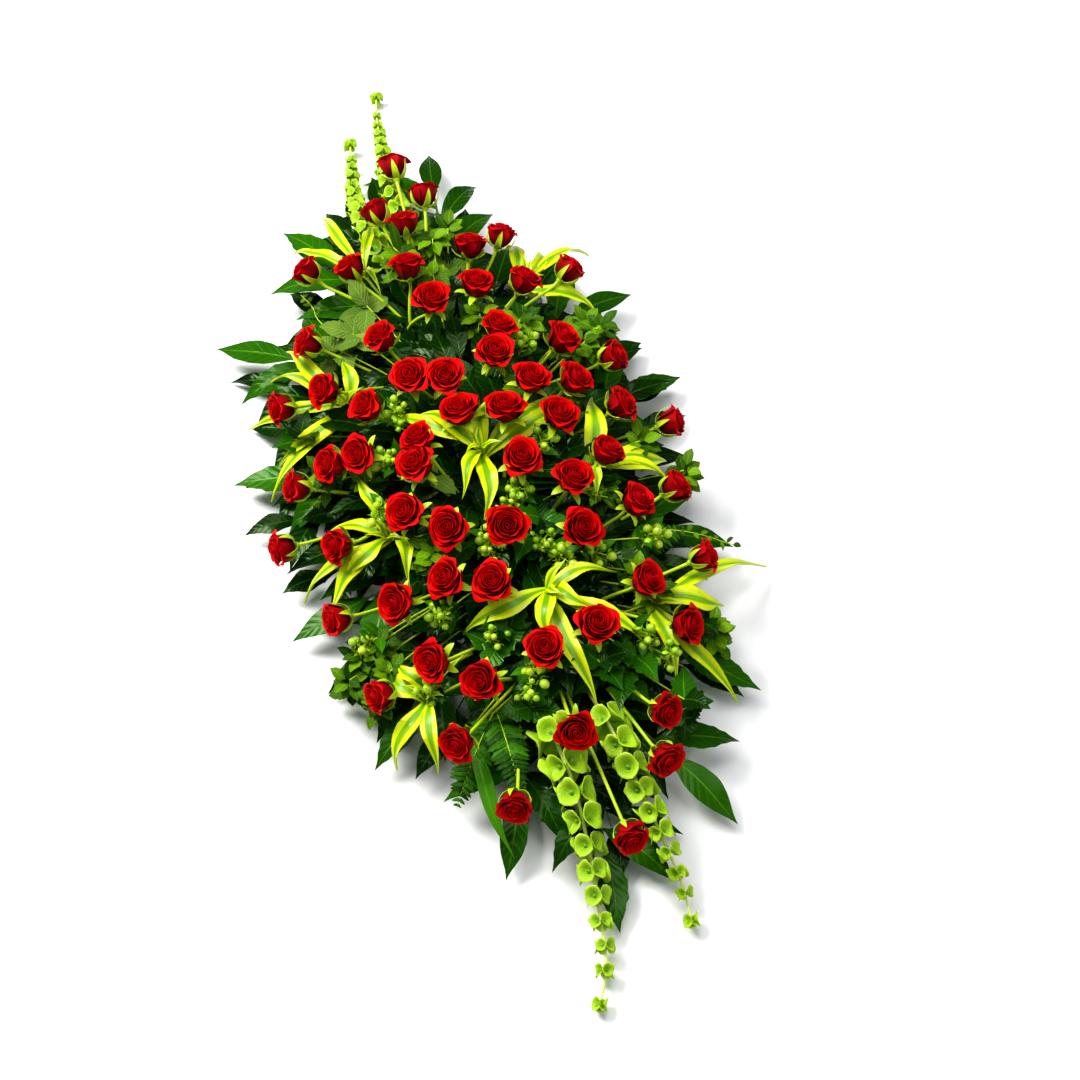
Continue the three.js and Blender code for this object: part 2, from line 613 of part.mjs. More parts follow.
// A strip of constant outline across the holder, extruded along X
function crossStrip(outline, from, to) {
  const shape = new THREE.Shape(outline.map(([y, z]) => new THREE.Vector2(y, z)));
  const strip = new THREE.ExtrudeGeometry(shape, { depth: to - from, bevelEnabled: false });
  strip.applyMatrix4(new THREE.Matrix4().set(0, 0, 1, from, 1, 0, 0, 0, 0, 1, 0, 0, 0, 0, 0, 1));
  return closed(strip);
}

function foamBrick(index) {
  const half = FOAM.width / 2;
  const shoulder = foamTop - FOAM.chamfer;
  const outline = [
    [-half, foamBottom], [half, foamBottom], [half, shoulder], [half - FOAM.chamfer, foamTop],
    [FOAM.chamfer - half, foamTop], [-half, shoulder],
  ];
  const middle = index * (FOAM.length + FOAM.joint);
  return crossStrip(outline, middle - FOAM.length / 2, middle + FOAM.length / 2);
}

// Waterproof tape over a joint of the foam, down to the outside of the tray's lip
function anchorTape(x) {
  const side = (offset) => {
    const lip = TRAY.width / 2 + TRAY.lip + offset;
    const half = FOAM.width / 2;
    return [
      [lip, TRAY.height - TAPE.reach + TRAY.lip],
      [lip, TRAY.height + offset],
      [half + offset, foamTop - FOAM.chamfer + offset],
      [half - FOAM.chamfer + offset / 2, foamTop + offset],
    ];
  };
  const mirrored = (list) => list.map(([y, z]) => [-y, z]).reverse();
  const inner = side(GAP);
  const outer = side(GAP + TAPE.thickness);
  const outline = [...outer, ...mirrored(outer), ...mirrored(inner).reverse(), ...inner.reverse()];
  return crossStrip(outline, x - TAPE.width / 2, x + TAPE.width / 2);
}

const overlaps = (a, b) => [0, 1, 2].every((i) => a.min[i] < b.max[i] && b.min[i] < a.max[i]);

// Cuts from a body whatever other nodes' enlarged pieces reach into it, and drops loose scraps
function clearOf(body, others) {
  const box = body.boundingBox();
  const near = others.flatMap((node) => node.cleared).filter((piece) => overlaps(box, piece.boundingBox()));
  if (!near.length) return body;
  const rest = body.subtract(wasm.Manifold.union(near)).decompose();
  return rest.reduce((a, b) => (b.volume() > a.volume() ? b : a));
}

function meshOf(name, body, material) {
  const { vertProperties, triVerts } = body.getMesh();
  const geometry = new THREE.BufferGeometry();
  geometry.setAttribute("position", new THREE.BufferAttribute(new Float32Array(vertProperties), 3));
  geometry.setIndex(new THREE.BufferAttribute(new Uint32Array(triVerts), 1));
  geometry.computeVertexNormals();
  const mesh = new THREE.Mesh(geometry, material);
  mesh.name = name;
  return mesh;
}

const spray = new THREE.Group();
spray.add(meshOf("tray", tray(), finishes.tray));
["head", "middle", "foot"].forEach((place, i) => {
  spray.add(meshOf("foam_brick_" + place, clearOf(foamBrick(i - 1), nodes), finishes.foam));
});
["head", "foot"].forEach((place, i) => {
  const joint = (i - 0.5) * (FOAM.length + FOAM.joint);
  spray.add(meshOf("anchor_tape_" + place, clearOf(anchorTape(joint), nodes), finishes.tape));
});
nodes.forEach((node, i) => {
  const whole = wasm.Manifold.union(node.pieces);
  spray.add(meshOf(node.name, clearOf(whole, nodes.slice(0, i)), node.material));
});

export default spray;
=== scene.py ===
import math

import bpy
import numpy as np
from mathutils import Matrix, Vector


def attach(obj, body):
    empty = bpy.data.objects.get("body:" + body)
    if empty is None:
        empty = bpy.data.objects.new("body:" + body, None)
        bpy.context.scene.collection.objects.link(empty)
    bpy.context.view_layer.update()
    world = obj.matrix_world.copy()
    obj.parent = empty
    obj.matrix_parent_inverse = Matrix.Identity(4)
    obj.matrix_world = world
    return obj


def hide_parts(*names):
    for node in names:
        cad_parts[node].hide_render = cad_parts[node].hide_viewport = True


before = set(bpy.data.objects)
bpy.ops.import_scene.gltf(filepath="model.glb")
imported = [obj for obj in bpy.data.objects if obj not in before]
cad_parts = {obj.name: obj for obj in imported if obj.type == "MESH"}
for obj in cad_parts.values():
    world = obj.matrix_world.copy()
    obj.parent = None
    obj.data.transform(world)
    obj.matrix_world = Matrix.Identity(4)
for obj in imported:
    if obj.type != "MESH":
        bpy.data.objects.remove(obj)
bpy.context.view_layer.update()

# Camera, floor and light.
# The spray is seen from above its foot end with a long lens. It lies on a plain pale floor under
# soft light that comes from above the head end and the left.
scene = bpy.context.scene
scene.view_settings.view_transform = "Standard"
scene.view_settings.look = "Medium High Contrast"


def aimed(name, data, place, aim):
    """An object at place that looks or shines towards aim."""
    made = bpy.data.objects.new(name, data)
    made.location = place
    made.rotation_euler = (Vector(aim) - Vector(place)).to_track_quat("-Z", "Y").to_euler()
    scene.collection.objects.link(made)
    return made


lens = bpy.data.cameras.new("camera")
lens.lens = 83.0
lens.sensor_width = 36.0
scene.camera = aimed("camera", lens, (2.027, -0.576, 3.217), (0.069, 0.053, 0.0))
for name, place, aim, size, power, colour in (
        ("key_box", (-1.5, -1.6, 2.9), (0, 0, 0.1), 1.5, 150, (1.0, 0.985, 0.96)),
        ("fill_box", (2.0, 2.2, 2.6), (0, 0, 0.1), 2.4, 28, (0.97, 0.99, 1.0)),
        ("top_box", (-0.4, 0.2, 4.2), (0, 0, 0), 2.6, 82, (1.0, 1.0, 1.0))):
    box = bpy.data.lights.new(name, "AREA")
    box.size, box.energy, box.color = size, power, colour
    aimed(name, box, place, aim)

scene.world = bpy.data.worlds.new("white_room")
scene.world.use_nodes = True
sky = scene.world.node_tree.nodes["Background"]
sky.inputs["Color"].default_value = (0.97, 0.98, 1.0, 1)
sky.inputs["Strength"].default_value = 0.22


def srgb(red, green, blue):
    """A colour read as 0 to 255 on a screen, as Blender's own linear one."""
    parts = [c / 255 for c in (red, green, blue)]
    return tuple(c / 12.92 if c < 0.04045 else ((c + 0.055) / 1.055) ** 2.4 for c in parts) + (1.0,)


class Nodes:
    """A tree of nodes that is built up step by step. Each step returns sockets."""

    def __init__(self, tree):
        self.tree = tree

    def add(self, kind, inputs=(), **settings):
        """A node's outputs. Its inputs are filled by values or by other nodes' sockets."""
        made = self.tree.nodes.new(kind)
        for key, value in settings.items():
            setattr(made, key, value)
        for key, value in inputs.items() if isinstance(inputs, dict) else enumerate(inputs):
            if isinstance(value, bpy.types.NodeSocket):
                self.tree.links.new(value, made.inputs[key])
            elif value is not None:
                made.inputs[key].default_value = value
        return made.outputs

    def maths(self, operation, *inputs):
        return self.add("ShaderNodeMath", inputs, operation=operation)[0]

    def stored(self, name):
        """A value that the mesh keeps at its points."""
        return self.add("ShaderNodeAttribute", attribute_name=name)["Fac"]

    def ramp(self, value, *limits):
        """The value brought from the first pair of limits to the second, or to 0 and 1."""
        return self.add("ShaderNodeMapRange", (value, *limits))[0]

    def blend(self, share, first, second):
        """Colour first where share is 0, and colour second where it is 1."""
        first, second = (srgb(*c) if isinstance(c, tuple) else c for c in (first, second))
        return self.add("ShaderNodeMix", {0: share, 6: first, 7: second}, data_type="RGBA")[2]

    def place(self):
        return self.add("ShaderNodeTexCoord")["Object"]

    def noise(self, scale, detail, roughness=0.5, vector=None):
        """Clouds over the object's own place, or over another vector."""
        return self.add("ShaderNodeTexNoise", {
            "Vector": vector or self.place(), "Scale": scale, "Detail": detail,
            "Roughness": roughness})["Fac"]


class Paint(Nodes):
    """A material with one Principled shader."""

    def __init__(self, name, roughness, specular=0.5):
        self.material = bpy.data.materials.new(name)
        self.material.use_nodes = True
        super().__init__(self.material.node_tree)
        self.shader = self.tree.nodes["Principled BSDF"].inputs
        self.shader["Roughness"].default_value = roughness
        self.shader["Specular IOR Level"].default_value = specular

    def finish(self, colour, height=None, strength=0.0, distance=0.0):
        """Gives the shader its colour, and relief that is distance metres deep at full height."""
        self.tree.links.new(colour, self.shader["Base Color"])
        if height:
            relief = self.add(
                "ShaderNodeBump", {"Strength": strength, "Distance": distance, "Height": height})
            self.tree.links.new(relief["Normal"], self.shader["Normal"])
        return self.material


floor_mesh = bpy.data.meshes.new("floor")
floor_mesh.from_pydata([(-9, -9, 0), (9, -9, 0), (9, 9, 0), (-9, 9, 0)], [], [(0, 1, 2, 3)])
floor = bpy.data.objects.new("floor", floor_mesh)
scene.collection.objects.link(floor)
floor_paint = Paint("floor_paint", 0.85, 0.2)
floor_paint.shader["Base Color"].default_value = srgb(246, 246, 247)
floor_mesh.materials.append(floor_paint.material)


# Tray.
# The long shallow tray is pressed from one sheet of dark green plastic, with a turned-out lip.
# It holds the foam and the water, and it alone stands on the surface.
def dress(names, material):
    """Gives CAD nodes that stay in view their finished material."""
    for name in names:
        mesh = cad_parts[name].data
        mesh.materials.clear()
        mesh.materials.append(material)


paint = Paint("tray_plastic", 0.42)
cloud = paint.noise(14.0, 5.0)
paint.tree.links.new(paint.ramp(cloud, None, None, 0.3, 0.52), paint.shader["Roughness"])
tray_plastic = paint.finish(
    paint.blend(cloud, (18, 56, 30), (32, 84, 46)), paint.noise(900.0, 2.0), 0.25, 0.0002)
dress(["tray"], tray_plastic)


# Foam bricks.
# Three bricks of soaked floral foam stand end to end in the tray. Their skin is a fine open froth
# of dark green cells, and each stem or bunch stands in a hole pressed into it.
paint = Paint("wet_foam", 0.95, 0.25)
cells = paint.add("ShaderNodeTexVoronoi", {"Vector": paint.place(), "Scale": 520.0})["Distance"]
soaked = paint.blend(paint.noise(30.0, 6.0), (22, 50, 26), (52, 92, 50))
wet_foam = paint.finish(paint.blend(cells, soaked, (78, 118, 70)), cells, 0.6, 0.0008)
dress(["foam_brick_head", "foam_brick_middle", "foam_brick_foot"], wet_foam)


# Anchor tapes.
# Two strips of waterproof green tape run over the joints of the foam and down to the tray's lip.
# They are stretched tight and pressed on by hand, so they carry fine cross wrinkles.
paint = Paint("anchor_tape", 0.4)
creases = paint.add("ShaderNodeTexWave", {
    "Vector": paint.place(), "Scale": 160.0, "Distortion": 6.0}, bands_direction="Y")["Fac"]
anchor_tape = paint.finish(
    paint.blend(paint.noise(45.0, 4.0), (24, 76, 40), (44, 110, 60)), creases, 0.35, 0.0003)
dress(["anchor_tape_head", "anchor_tape_foot"], anchor_tape)


# Roses.
# Sixty-five red roses stand in twenty-three bunches, each bunch in one hole of the foam. A flower has
# about twenty-six thin petals that wrap round one another in a spiral, on a green hip with five
# sepals, on a smooth green stem. The lists and rules are those of the solids, in millimetres.
ROSE = {"open": 34, "bud": 26, "stem": 2.9, "apart": 3.6, "fork": 45, "petals": 26, "drawn": 0.87}
FOAM_DEPTH = {"low": 42, "high": 60, "shoot": 54, "collar": 50, "sprig": 62}
ROSE_BUNCHES = {
    "head_end": ([-325, 5], [[-628, 24, 0.3], [-535, 50, 0.4], [-518, -35, 0.3], [-472, -3, 0.5]]),
    "head_left": ([-285, -30], [[-442, -172, 0.3], [-407, -108, 0.4], [-368, -24, 0.6], [-282, -8, 0.9]]),
    "head_right": ([-290, 34], [[-386, 84, 0.5], [-405, 142, 0.4]]),
    "shoulder_right": ([-240, 36], [[-294, 67, 0.8], [-289, 144, 0.5], [-317, 228, 0.3]]),
    "shoulder_left": ([-215, -38], [[-292, -209, 0.3], [-188, -209, 0.6], [-202, -277, 0.2]]),
    "upper_left": ([-160, -18], [[-238, -104, 0.6], [-143, -84, 0.9], [-121, -34, 0.9]]),
    "upper_middle": ([-165, 18], [[-194, 73, 0.5], [-145, 52, 0.9]]),
    "upper_right": ([-142, 40], [[-157, 163, 0.6], [-120, 234, 0.4]]),
    "side_left": ([-88, -38], [[-122, -160, 0.5], [-46, -193, 0.9], [-56, -236, 0.6]]),
    "inner_right": ([-80, 30], [[-82, 89, 0.7], [-72, 155, 0.6]]),
    "crown": ([20, 10], [[-56, -34, 1], [-38, 34, 1], [56, 30, 1], [160, -26, 1]]),
    "side_right": ([-20, 40], [[-8, 109, 0.9], [-21, 212, 0.5], [9, 284, 0.3]]),
    "middle_left": ([40, -20], [[-30, -105, 0.7], [10, -121, 1], [80, -157, 1], [131, -106, 1]]),
    "middle_right": ([92, 32], [[66, 160, 0.5], [106, 94, 1], [192, 79, 1]]),
    "lower_right": ([150, 40], [[156, 176, 0.7], [131, 246, 0.4]]),
    "rim_left": ([0, -42], [[-55, -293, 0.3], [26, -338, 0.2], [77, -262, 0.5]]),
    "lower_middle": ([190, -16], [[205, -132, 0.9], [236, -72, 1]]),
    "rim_right": ([235, 38], [[253, 249, 0.2], [287, 146, 0.7], [363, 182, 0.6]]),
    "lower_left": ([145, -38], [[206, -209, 0.9], [181, -295, 0.3]]),
    "foot_right": ([300, 22], [[341, 52, 1], [483, 106, 0.4], [548, 84, 0.4]]),
    "foot_end": ([325, -8], [[355, -32, 0.9], [480, -27, 0.8], [638, 2, 0.4]]),
    "foot_left": ([250, -38], [[312, -186, 0.8], [320, -269, 0.4]]),
    "foot_rim": ([305, -34], [[368, -130, 0.8], [436, -186, 0.5], [548, -137, 0.4]]),
}
MOUND = {"rim": 50, "rise": 170, "long": 800, "wide": 400}
UP = np.array([0.0, 0.0, 1.0])


def vec(*xyz):
    return np.array(xyz, float)


def unit(v):
    return v / np.linalg.norm(v)


def lerp(a, b, share):
    return a + (b - a) * share


def chance(n):
    """A repeatable number from 0 to 1 for each number."""
    wave = math.sin(n * 12.9898) * 43758.5453
    return wave - math.floor(wave)


def mound_height(x, y):
    """Height of a rose's middle over the point (x, y) of the mound."""
    return MOUND["rim"] + MOUND["rise"] * max(0.0, 1 - (x / MOUND["long"]) ** 2 - (y / MOUND["wide"]) ** 2)


def across(axis):
    """Two directions square to an axis."""
    side = unit(np.cross(vec(1, 0, 0) if abs(axis[2]) > 0.9 else UP, axis))
    return side, np.cross(axis, side)


def around(pair, angle):
    """The direction at an angle in the plane of a pair of directions."""
    return pair[0] * math.cos(angle) + pair[1] * math.sin(angle)


def rose_bunch(hole, heads):
    """The roses of a bunch, its foot in the foam and the fork where its stems part."""
    near_edge = abs(hole[1]) > 29 or abs(hole[0]) > 290
    foot = vec(*hole, FOAM_DEPTH["high" if near_edge else "low"])
    roses = []
    for x, y, opened in heads:
        middle = vec(x, y, mound_height(x, y))
        axis = unit(unit(middle - foot) + 0.35 * opened * UP)
        roses.append((middle, axis, opened, lerp(ROSE["bud"], ROSE["open"], opened)))
    lean = unit(sum(unit(rose[0] - foot) for rose in roses))
    return foot, foot + lean * ROSE["fork"], roses


bunches = {name: rose_bunch(*entry) for name, entry in ROSE_BUNCHES.items()}
head_middles = np.array([rose[0] for bunch in bunches.values() for rose in bunch[2]])
head_radii = np.array([rose[3] for bunch in bunches.values() for rose in bunch[2]])


def store(mesh, label, kind, values):
    """Keeps a value at each point of a mesh."""
    data = mesh.attributes.new(label, kind, "POINT").data
    data.foreach_set("vector" if kind == "FLOAT_VECTOR" else "value", values)


def keep_kind(kinds, name, points, faces, sideways, lengthways, outside):
    """Adds a mesh to the kinds that can be placed, with where each point lies on the blade."""
    mesh = bpy.data.meshes.new(name)
    mesh.from_pydata(points, [], faces)
    mesh.shade_smooth()
    for label, values in (("across", sideways), ("along", lengthways), ("outside", outside)):
        store(mesh, label, "FLOAT", np.asarray(values, np.float32))
    kinds.objects.link(bpy.data.objects.new(name, mesh))
    return mesh


def shell(name, surface, columns, rows, thickness, kinds):
    """A thin closed blade from surface(u, v), with u from -1 to 1 across it and v from 0 to 1 along it."""
    v, u = np.meshgrid(np.linspace(0, 1, rows + 1), np.linspace(-1, 1, columns + 1), indexing="ij")
    points = surface(u, v)
    normals = np.cross(np.gradient(points, axis=1), np.gradient(points, axis=0))
    normals /= np.linalg.norm(normals, axis=2, keepdims=True) + 1e-12
    top = points + normals * thickness / 2
    low = points - normals * thickness / 2
    count = (rows + 1) * (columns + 1)
    number = np.arange(count).reshape(rows + 1, columns + 1)
    a, b, c, d = number[:-1, :-1], number[:-1, 1:], number[1:, 1:], number[1:, :-1]
    face_top = np.stack([a, b, c, d], -1).reshape(-1, 4)
    face_low = np.stack([a, d, c, b], -1).reshape(-1, 4) + count
    edge = np.concatenate([number[0, :-1], number[:-1, -1], number[-1, :0:-1], number[:0:-1, 0]])
    ahead = np.roll(edge, -1)
    face_rim = np.stack([ahead, edge, edge + count, ahead + count], -1)
    mesh = keep_kind(
        kinds, name, np.concatenate([top.reshape(-1, 3), low.reshape(-1, 3)]).tolist(),
        np.concatenate([face_top, face_low, face_rim]).tolist(),
        np.tile(u.reshape(-1), 2), np.tile(v.reshape(-1), 2), np.repeat([1.0, 0.0], count))
    mesh.set_sharp_from_angle(angle=math.radians(50))


def lathe(name, profile, sides, kinds, shape=lambda radius, height, angle: (radius, height)):
    """A closed turned form from (radius, height) pairs that start and end on its axis."""
    points, faces, rings = [], [], []
    for radius, height in profile:
        if radius == 0:
            rings.append([len(points)])
            points.append((0.0, 0.0, height))
            continue
        rings.append(list(range(len(points), len(points) + sides)))
        for k in range(sides):
            angle = 2 * math.pi * k / sides
            reach, lift = shape(radius, height, angle)
            points.append((reach * math.cos(angle), reach * math.sin(angle), lift))
    for lower, upper in zip(rings, rings[1:]):
        for k in range(sides):
            corners = [ring[i % len(ring)] for ring, i in (
                (lower, k), (lower, (k + 1) % sides), (upper, (k + 1) % sides), (upper, k))]
            faces.append(tuple(dict.fromkeys(corners)))
    heights = np.array([p[2] for p in points])
    reach = np.array([math.hypot(p[0], p[1]) for p in points])
    keep_kind(kinds, name, points, faces, reach / reach.max(), (heights - heights.min()) / np.ptp(heights),
              np.zeros(len(points)))


def curve_of(controls, v):
    """A smooth curve drawn by control points, at shares v of its way."""
    last = len(controls) - 1
    return sum(math.comb(last, i) * v ** i * (1 - v) ** (last - i) * c for i, c in enumerate(controls))


def flower_foot(opened):
    """The height at which the petals start, in radii over the flower's middle. It lies below it."""
    return lerp(-1.02, -0.8, opened)


def petal_surface(i, opened):
    """The sheet of petal i, counted from the heart outwards, in radii of the flower."""
    s = i / (ROSE["petals"] - 1)
    base = flower_foot(opened)
    inner_r = vec(0.06, 0.10, 0.15, 0.15, 0.07)
    outer_r = lerp(vec(0.10, 0.72, 0.94, 0.66, 0.98), vec(0.10, 0.74, 0.96, 0.84, 1.06), opened)
    inner_z = vec(base, -0.5, 0.0, 0.3, lerp(0.66, 0.46, opened))
    outer_z = lerp(vec(base, -0.95, -0.25, 0.46, 0.40), vec(base, -0.82, -0.28, 0.30, 0.10), opened)
    reach = lerp(inner_r, outer_r, s ** 1.05)
    lift = lerp(inner_z, outer_z, s ** 1.3)
    lift[3:] += 0.34 * s * (1 - s)
    spread = lerp(2.5, 0.86, s ** 0.45)
    flare = s * lerp(1.7, 1.0, opened)
    wave = [chance(i + 0.1 * k) * 6.28 for k in range(3)]

    def surface(u, v):
        v = 1 - (1 - v) ** 1.4
        crown = v * (1 - lerp(0.12, 0.3, s) * np.abs(u) ** 2.2)
        r = curve_of(reach, crown) * (1 + 0.06 * u * (1 - 0.4 * s))
        z = curve_of(lift, crown)
        tip = np.exp(-((u + 0.2 * math.sin(wave[0])) / 0.36) ** 2) * v ** 6
        r = r + (0.08 + 0.14 * s ** 3) * flare * tip + 0.1 * flare * np.abs(u) ** 3 * v ** 3
        z = z - (0.03 + 0.1 * s ** 3) * flare * tip
        r = r + 0.045 * np.sin(2.6 * u + wave[1]) * v ** 2 * (0.3 + s)
        z = z + 0.04 * np.sin(4.0 * u + wave[2]) * v ** 3 + 0.018 * s * np.sin(9.0 * u + wave[0]) * v ** 5
        angle = u * spread * (0.42 + 0.58 * np.sin(0.5 * np.pi * np.minimum(1, 1.35 * v)))
        return np.stack([r * np.cos(angle), r * np.sin(angle), z], -1)

    return surface


new_kinds = bpy.data.collections.new
petal_kinds = new_kinds("petal_kinds")
OPENINGS = [0.3, 0.5, 0.75, 1.0]
for step, opened in enumerate(OPENINGS):
    for i in range(ROSE["petals"]):
        columns, rows = (6, 4) if i < 7 else (8, 5) if i < 16 else (12, 6)
        shell(f"petal_{step}_{i:02d}", petal_surface(i, opened), columns, rows, 0.014, petal_kinds)


def sepal_surface(reach, lift):
    def surface(u, v):
        half = 0.25 * (1 - v) ** 0.75 * (0.75 + 0.75 * v)
        r = curve_of(vec(*reach), v) + 0.25 * half * np.abs(u)
        return np.stack([r, u * half, curve_of(vec(*lift), v)], -1)
    return surface


green_kinds = new_kinds("green_kinds")
for name, reach, lift in (
        ("green_0_hugging", (0.14, 0.66, 0.94, 0.94), (-1.02, -0.98, -0.5, 0.06)),
        ("green_1_leaning", (0.14, 0.60, 1.0, 1.12), (-0.92, -0.86, -0.6, -0.3)),
        ("green_2_spread", (0.14, 0.55, 0.95, 1.2), (-0.82, -0.66, -0.6, -0.86))):
    shell(name, sepal_surface(reach, lift), 4, 6, 0.03, green_kinds)
HIP = [(0, -0.30), (0.10, -0.29), (0.19, -0.2), (0.22, -0.08), (0.2, 0.04), (0, 0.06)]
lathe("green_3_hip", HIP, 8, green_kinds)


def new_group(name, kind, inputs, outputs):
    """A group of nodes with named sockets, and the sockets that its inputs come in by."""
    tree = bpy.data.node_groups.new(name, kind)
    for way, sockets in (("INPUT", inputs), ("OUTPUT", outputs)):
        for label, socket in sockets.items():
            tree.interface.new_socket(label, in_out=way, socket_type="NodeSocket" + socket)
    group = Nodes(tree)
    return group, group.add("NodeGroupInput")


def named(group, name, kind):
    """The stored attribute's own socket in a group of geometry nodes."""
    made = group.add("GeometryNodeInputNamedAttribute", {"Name": name}, data_type=kind)
    return next(s for s in made if s.enabled and s.name == "Attribute")


def finish_group(group, given, geometry):
    """Makes the geometry plain, gives it its material and hands it out."""
    whole = group.add("GeometryNodeRealizeInstances", [geometry])
    done = group.add("GeometryNodeSetMaterial", {"Geometry": whole[0], "Material": given["Material"]})
    group.add("NodeGroupOutput", [done[0]])
    return group.tree


def placing_group():
    """Each point becomes one of the kinds, turned, sized and swayed a little."""
    group, given = new_group("Place leaves and petals", "GeometryNodeTree", {
        "Geometry": "Geometry", "Kinds": "Collection", "Sway": "Float", "Seed": "Int",
        "Material": "Material"}, {"Geometry": "Geometry"})
    kinds = group.add("GeometryNodeCollectionInfo", {
        "Collection": given["Kinds"], "Separate Children": True, "Reset Children": True})
    copies = group.add("GeometryNodeInstanceOnPoints", {
        "Points": given["Geometry"], "Instance": kinds[0], "Pick Instance": True,
        "Instance Index": named(group, "kind", "INT"), "Rotation": named(group, "turn", "QUATERNION"),
        "Scale": named(group, "size", "FLOAT_VECTOR")})
    back = group.maths("MULTIPLY", given["Sway"], -1.0)
    sway = group.add("FunctionNodeRandomValue", {
        0: back, 1: given["Sway"], "Seed": given["Seed"]}, data_type="FLOAT_VECTOR")
    swayed = group.add("GeometryNodeRotateInstances", {"Instances": copies[0], "Rotation": sway[0]})
    return finish_group(group, given, swayed[0])


def stemming_group():
    """Each row of joined points becomes a round stem, as thick as its points say."""
    group, given = new_group("Draw stems", "GeometryNodeTree", {
        "Geometry": "Geometry", "Sides": "Int", "Step": "Float", "Material": "Material"},
        {"Geometry": "Geometry"})
    line = group.add("GeometryNodeMeshToCurve", [given["Geometry"]])
    bend = group.add("GeometryNodeCurveSplineType", [line[0]], spline_type="CATMULL_ROM")
    fine = group.add("GeometryNodeResampleCurve", {"Curve": bend[0], "Length": given["Step"]}, mode="LENGTH")
    ring = group.add("GeometryNodeCurvePrimitiveCircle", {"Resolution": given["Sides"], "Radius": 1.0})
    tube = group.add("GeometryNodeCurveToMesh", {
        "Curve": fine[0], "Profile Curve": ring[0], "Scale": named(group, "thick", "FLOAT"),
        "Fill Caps": True})
    return finish_group(group, given, group.add("GeometryNodeSetShadeSmooth", [tube[0]])[0])


placing, stemming = placing_group(), stemming_group()


def grown(mesh, tree, **values):
    """The plain mesh that a tree of geometry nodes makes from a mesh of points or lines."""
    seedling = bpy.data.objects.new("seedling", mesh)
    scene.collection.objects.link(seedling)
    grower = seedling.modifiers.new("grow", "NODES")
    grower.node_group = tree
    for item in tree.interface.items_tree:
        if item.item_type == "SOCKET" and item.in_out == "INPUT" and item.name in values:
            grower[item.identifier] = values[item.name]
    graph = bpy.context.evaluated_depsgraph_get()
    made = bpy.data.meshes.new_from_object(
        seedling.evaluated_get(graph), preserve_all_data_layers=True, depsgraph=graph)
    bpy.data.objects.remove(seedling)
    return made


def place_all(places, kinds, material, sway=0.0, seed=1):
    """One mesh with a kind at each place: (point in mm, x and z directions, sizes in mm, kind, tone)."""
    mesh = bpy.data.meshes.new("places")
    mesh.from_pydata([tuple(0.001 * p[0]) for p in places], [], [])
    turns = []
    for _, along, normal, _, _, _ in places:
        along = unit(along)
        normal = unit(normal - along * np.dot(normal, along))
        axes = np.column_stack([along, np.cross(normal, along), normal])
        turns.extend(Matrix(axes.tolist()).to_quaternion())
    store(mesh, "turn", "QUATERNION", turns)
    sizes = np.array([np.broadcast_to(p[3], 3) for p in places]) * 0.001
    store(mesh, "size", "FLOAT_VECTOR", sizes.reshape(-1))
    store(mesh, "kind", "INT", [p[4] for p in places])
    store(mesh, "tone", "FLOAT", [p[5] for p in places])
    return grown(mesh, placing, Kinds=kinds, Sway=sway, Seed=seed, Material=material)


def draw_stems(lines, material, sides=6, step=12.0):
    """One mesh of stems: each line is a list of (point in mm, radius in mm)."""
    points, edges, thick = [], [], []
    for line in lines:
        edges.extend((len(points) + k, len(points) + k + 1) for k in range(len(line) - 1))
        points.extend(tuple(0.001 * p) for p, _ in line)
        thick.extend(0.001 * r for _, r in line)
    mesh = bpy.data.meshes.new("lines")
    mesh.from_pydata(points, edges, [])
    store(mesh, "thick", "FLOAT", thick)
    return grown(mesh, stemming, Sides=sides, Step=0.001 * step, Material=material)


def hand_over(name, meshes, replaced=()):
    """A finished piece: its meshes joined, lying where they lie, riding with the spray."""
    parts = [bpy.data.objects.new("part", m) for m in meshes]
    for part in parts:
        scene.collection.objects.link(part)
    if len(parts) > 1:
        with bpy.context.temp_override(
                active_object=parts[0], object=parts[0],
                selected_objects=parts, selected_editable_objects=parts):
            bpy.ops.object.join()
    piece = parts[0]
    piece.name = piece.data.name = name
    for label in ("kind", "size", "turn", "thick"):
        if label in piece.data.attributes:
            piece.data.attributes.remove(piece.data.attributes[label])
    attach(piece, "root")
    if replaced:
        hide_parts(*replaced)


def streaks_group():
    """Fine lengthwise streaks and soft patches that petals and leaves share."""
    group, given = new_group("Streaks and patches", "ShaderNodeTree", {
        "Streak Count": "Float", "Patch Scale": "Float"}, {"Streak": "Float", "Patch": "Float"})
    flat = group.add("ShaderNodeCombineXYZ", [
        group.maths("MULTIPLY", group.stored("across"), given["Streak Count"]),
        group.maths("MULTIPLY", group.stored("along"), 1.6),
        group.maths("MULTIPLY", group.stored("tone"), 57.0)])
    group.add("NodeGroupOutput", [
        group.noise(1.0, 3.0, 0.6, flat[0]), group.noise(given["Patch Scale"], 4.0, 0.55)])
    return group.tree


streaks = streaks_group()


def streaked(paint, count, scale):
    """The streaks and the patches for a material."""
    return paint.add("ShaderNodeGroup", (count, scale), node_tree=streaks)


paint = Paint("rose_petal", 0.62, 0.1)
streak, _ = streaked(paint, 16.0, 60.0)
front = paint.blend(streak, (202, 0, 1), (224, 0, 3))
back = paint.blend(streak, (160, 0, 10), (200, 1, 26))
both = paint.blend(paint.stored("outside"), front, back)
# Petals are painted darker towards their base: painted shade in the folds between the petals.
painted_fold_shade = paint.blend(paint.ramp(paint.stored("along"), 0.15, 0.8), (64, 0, 2), both)
tone = paint.maths("MULTIPLY", paint.stored("tone"), 0.25)
rose_petal = paint.finish(paint.blend(tone, painted_fold_shade, (150, 0, 4)), streak, 0.3, 0.0005)

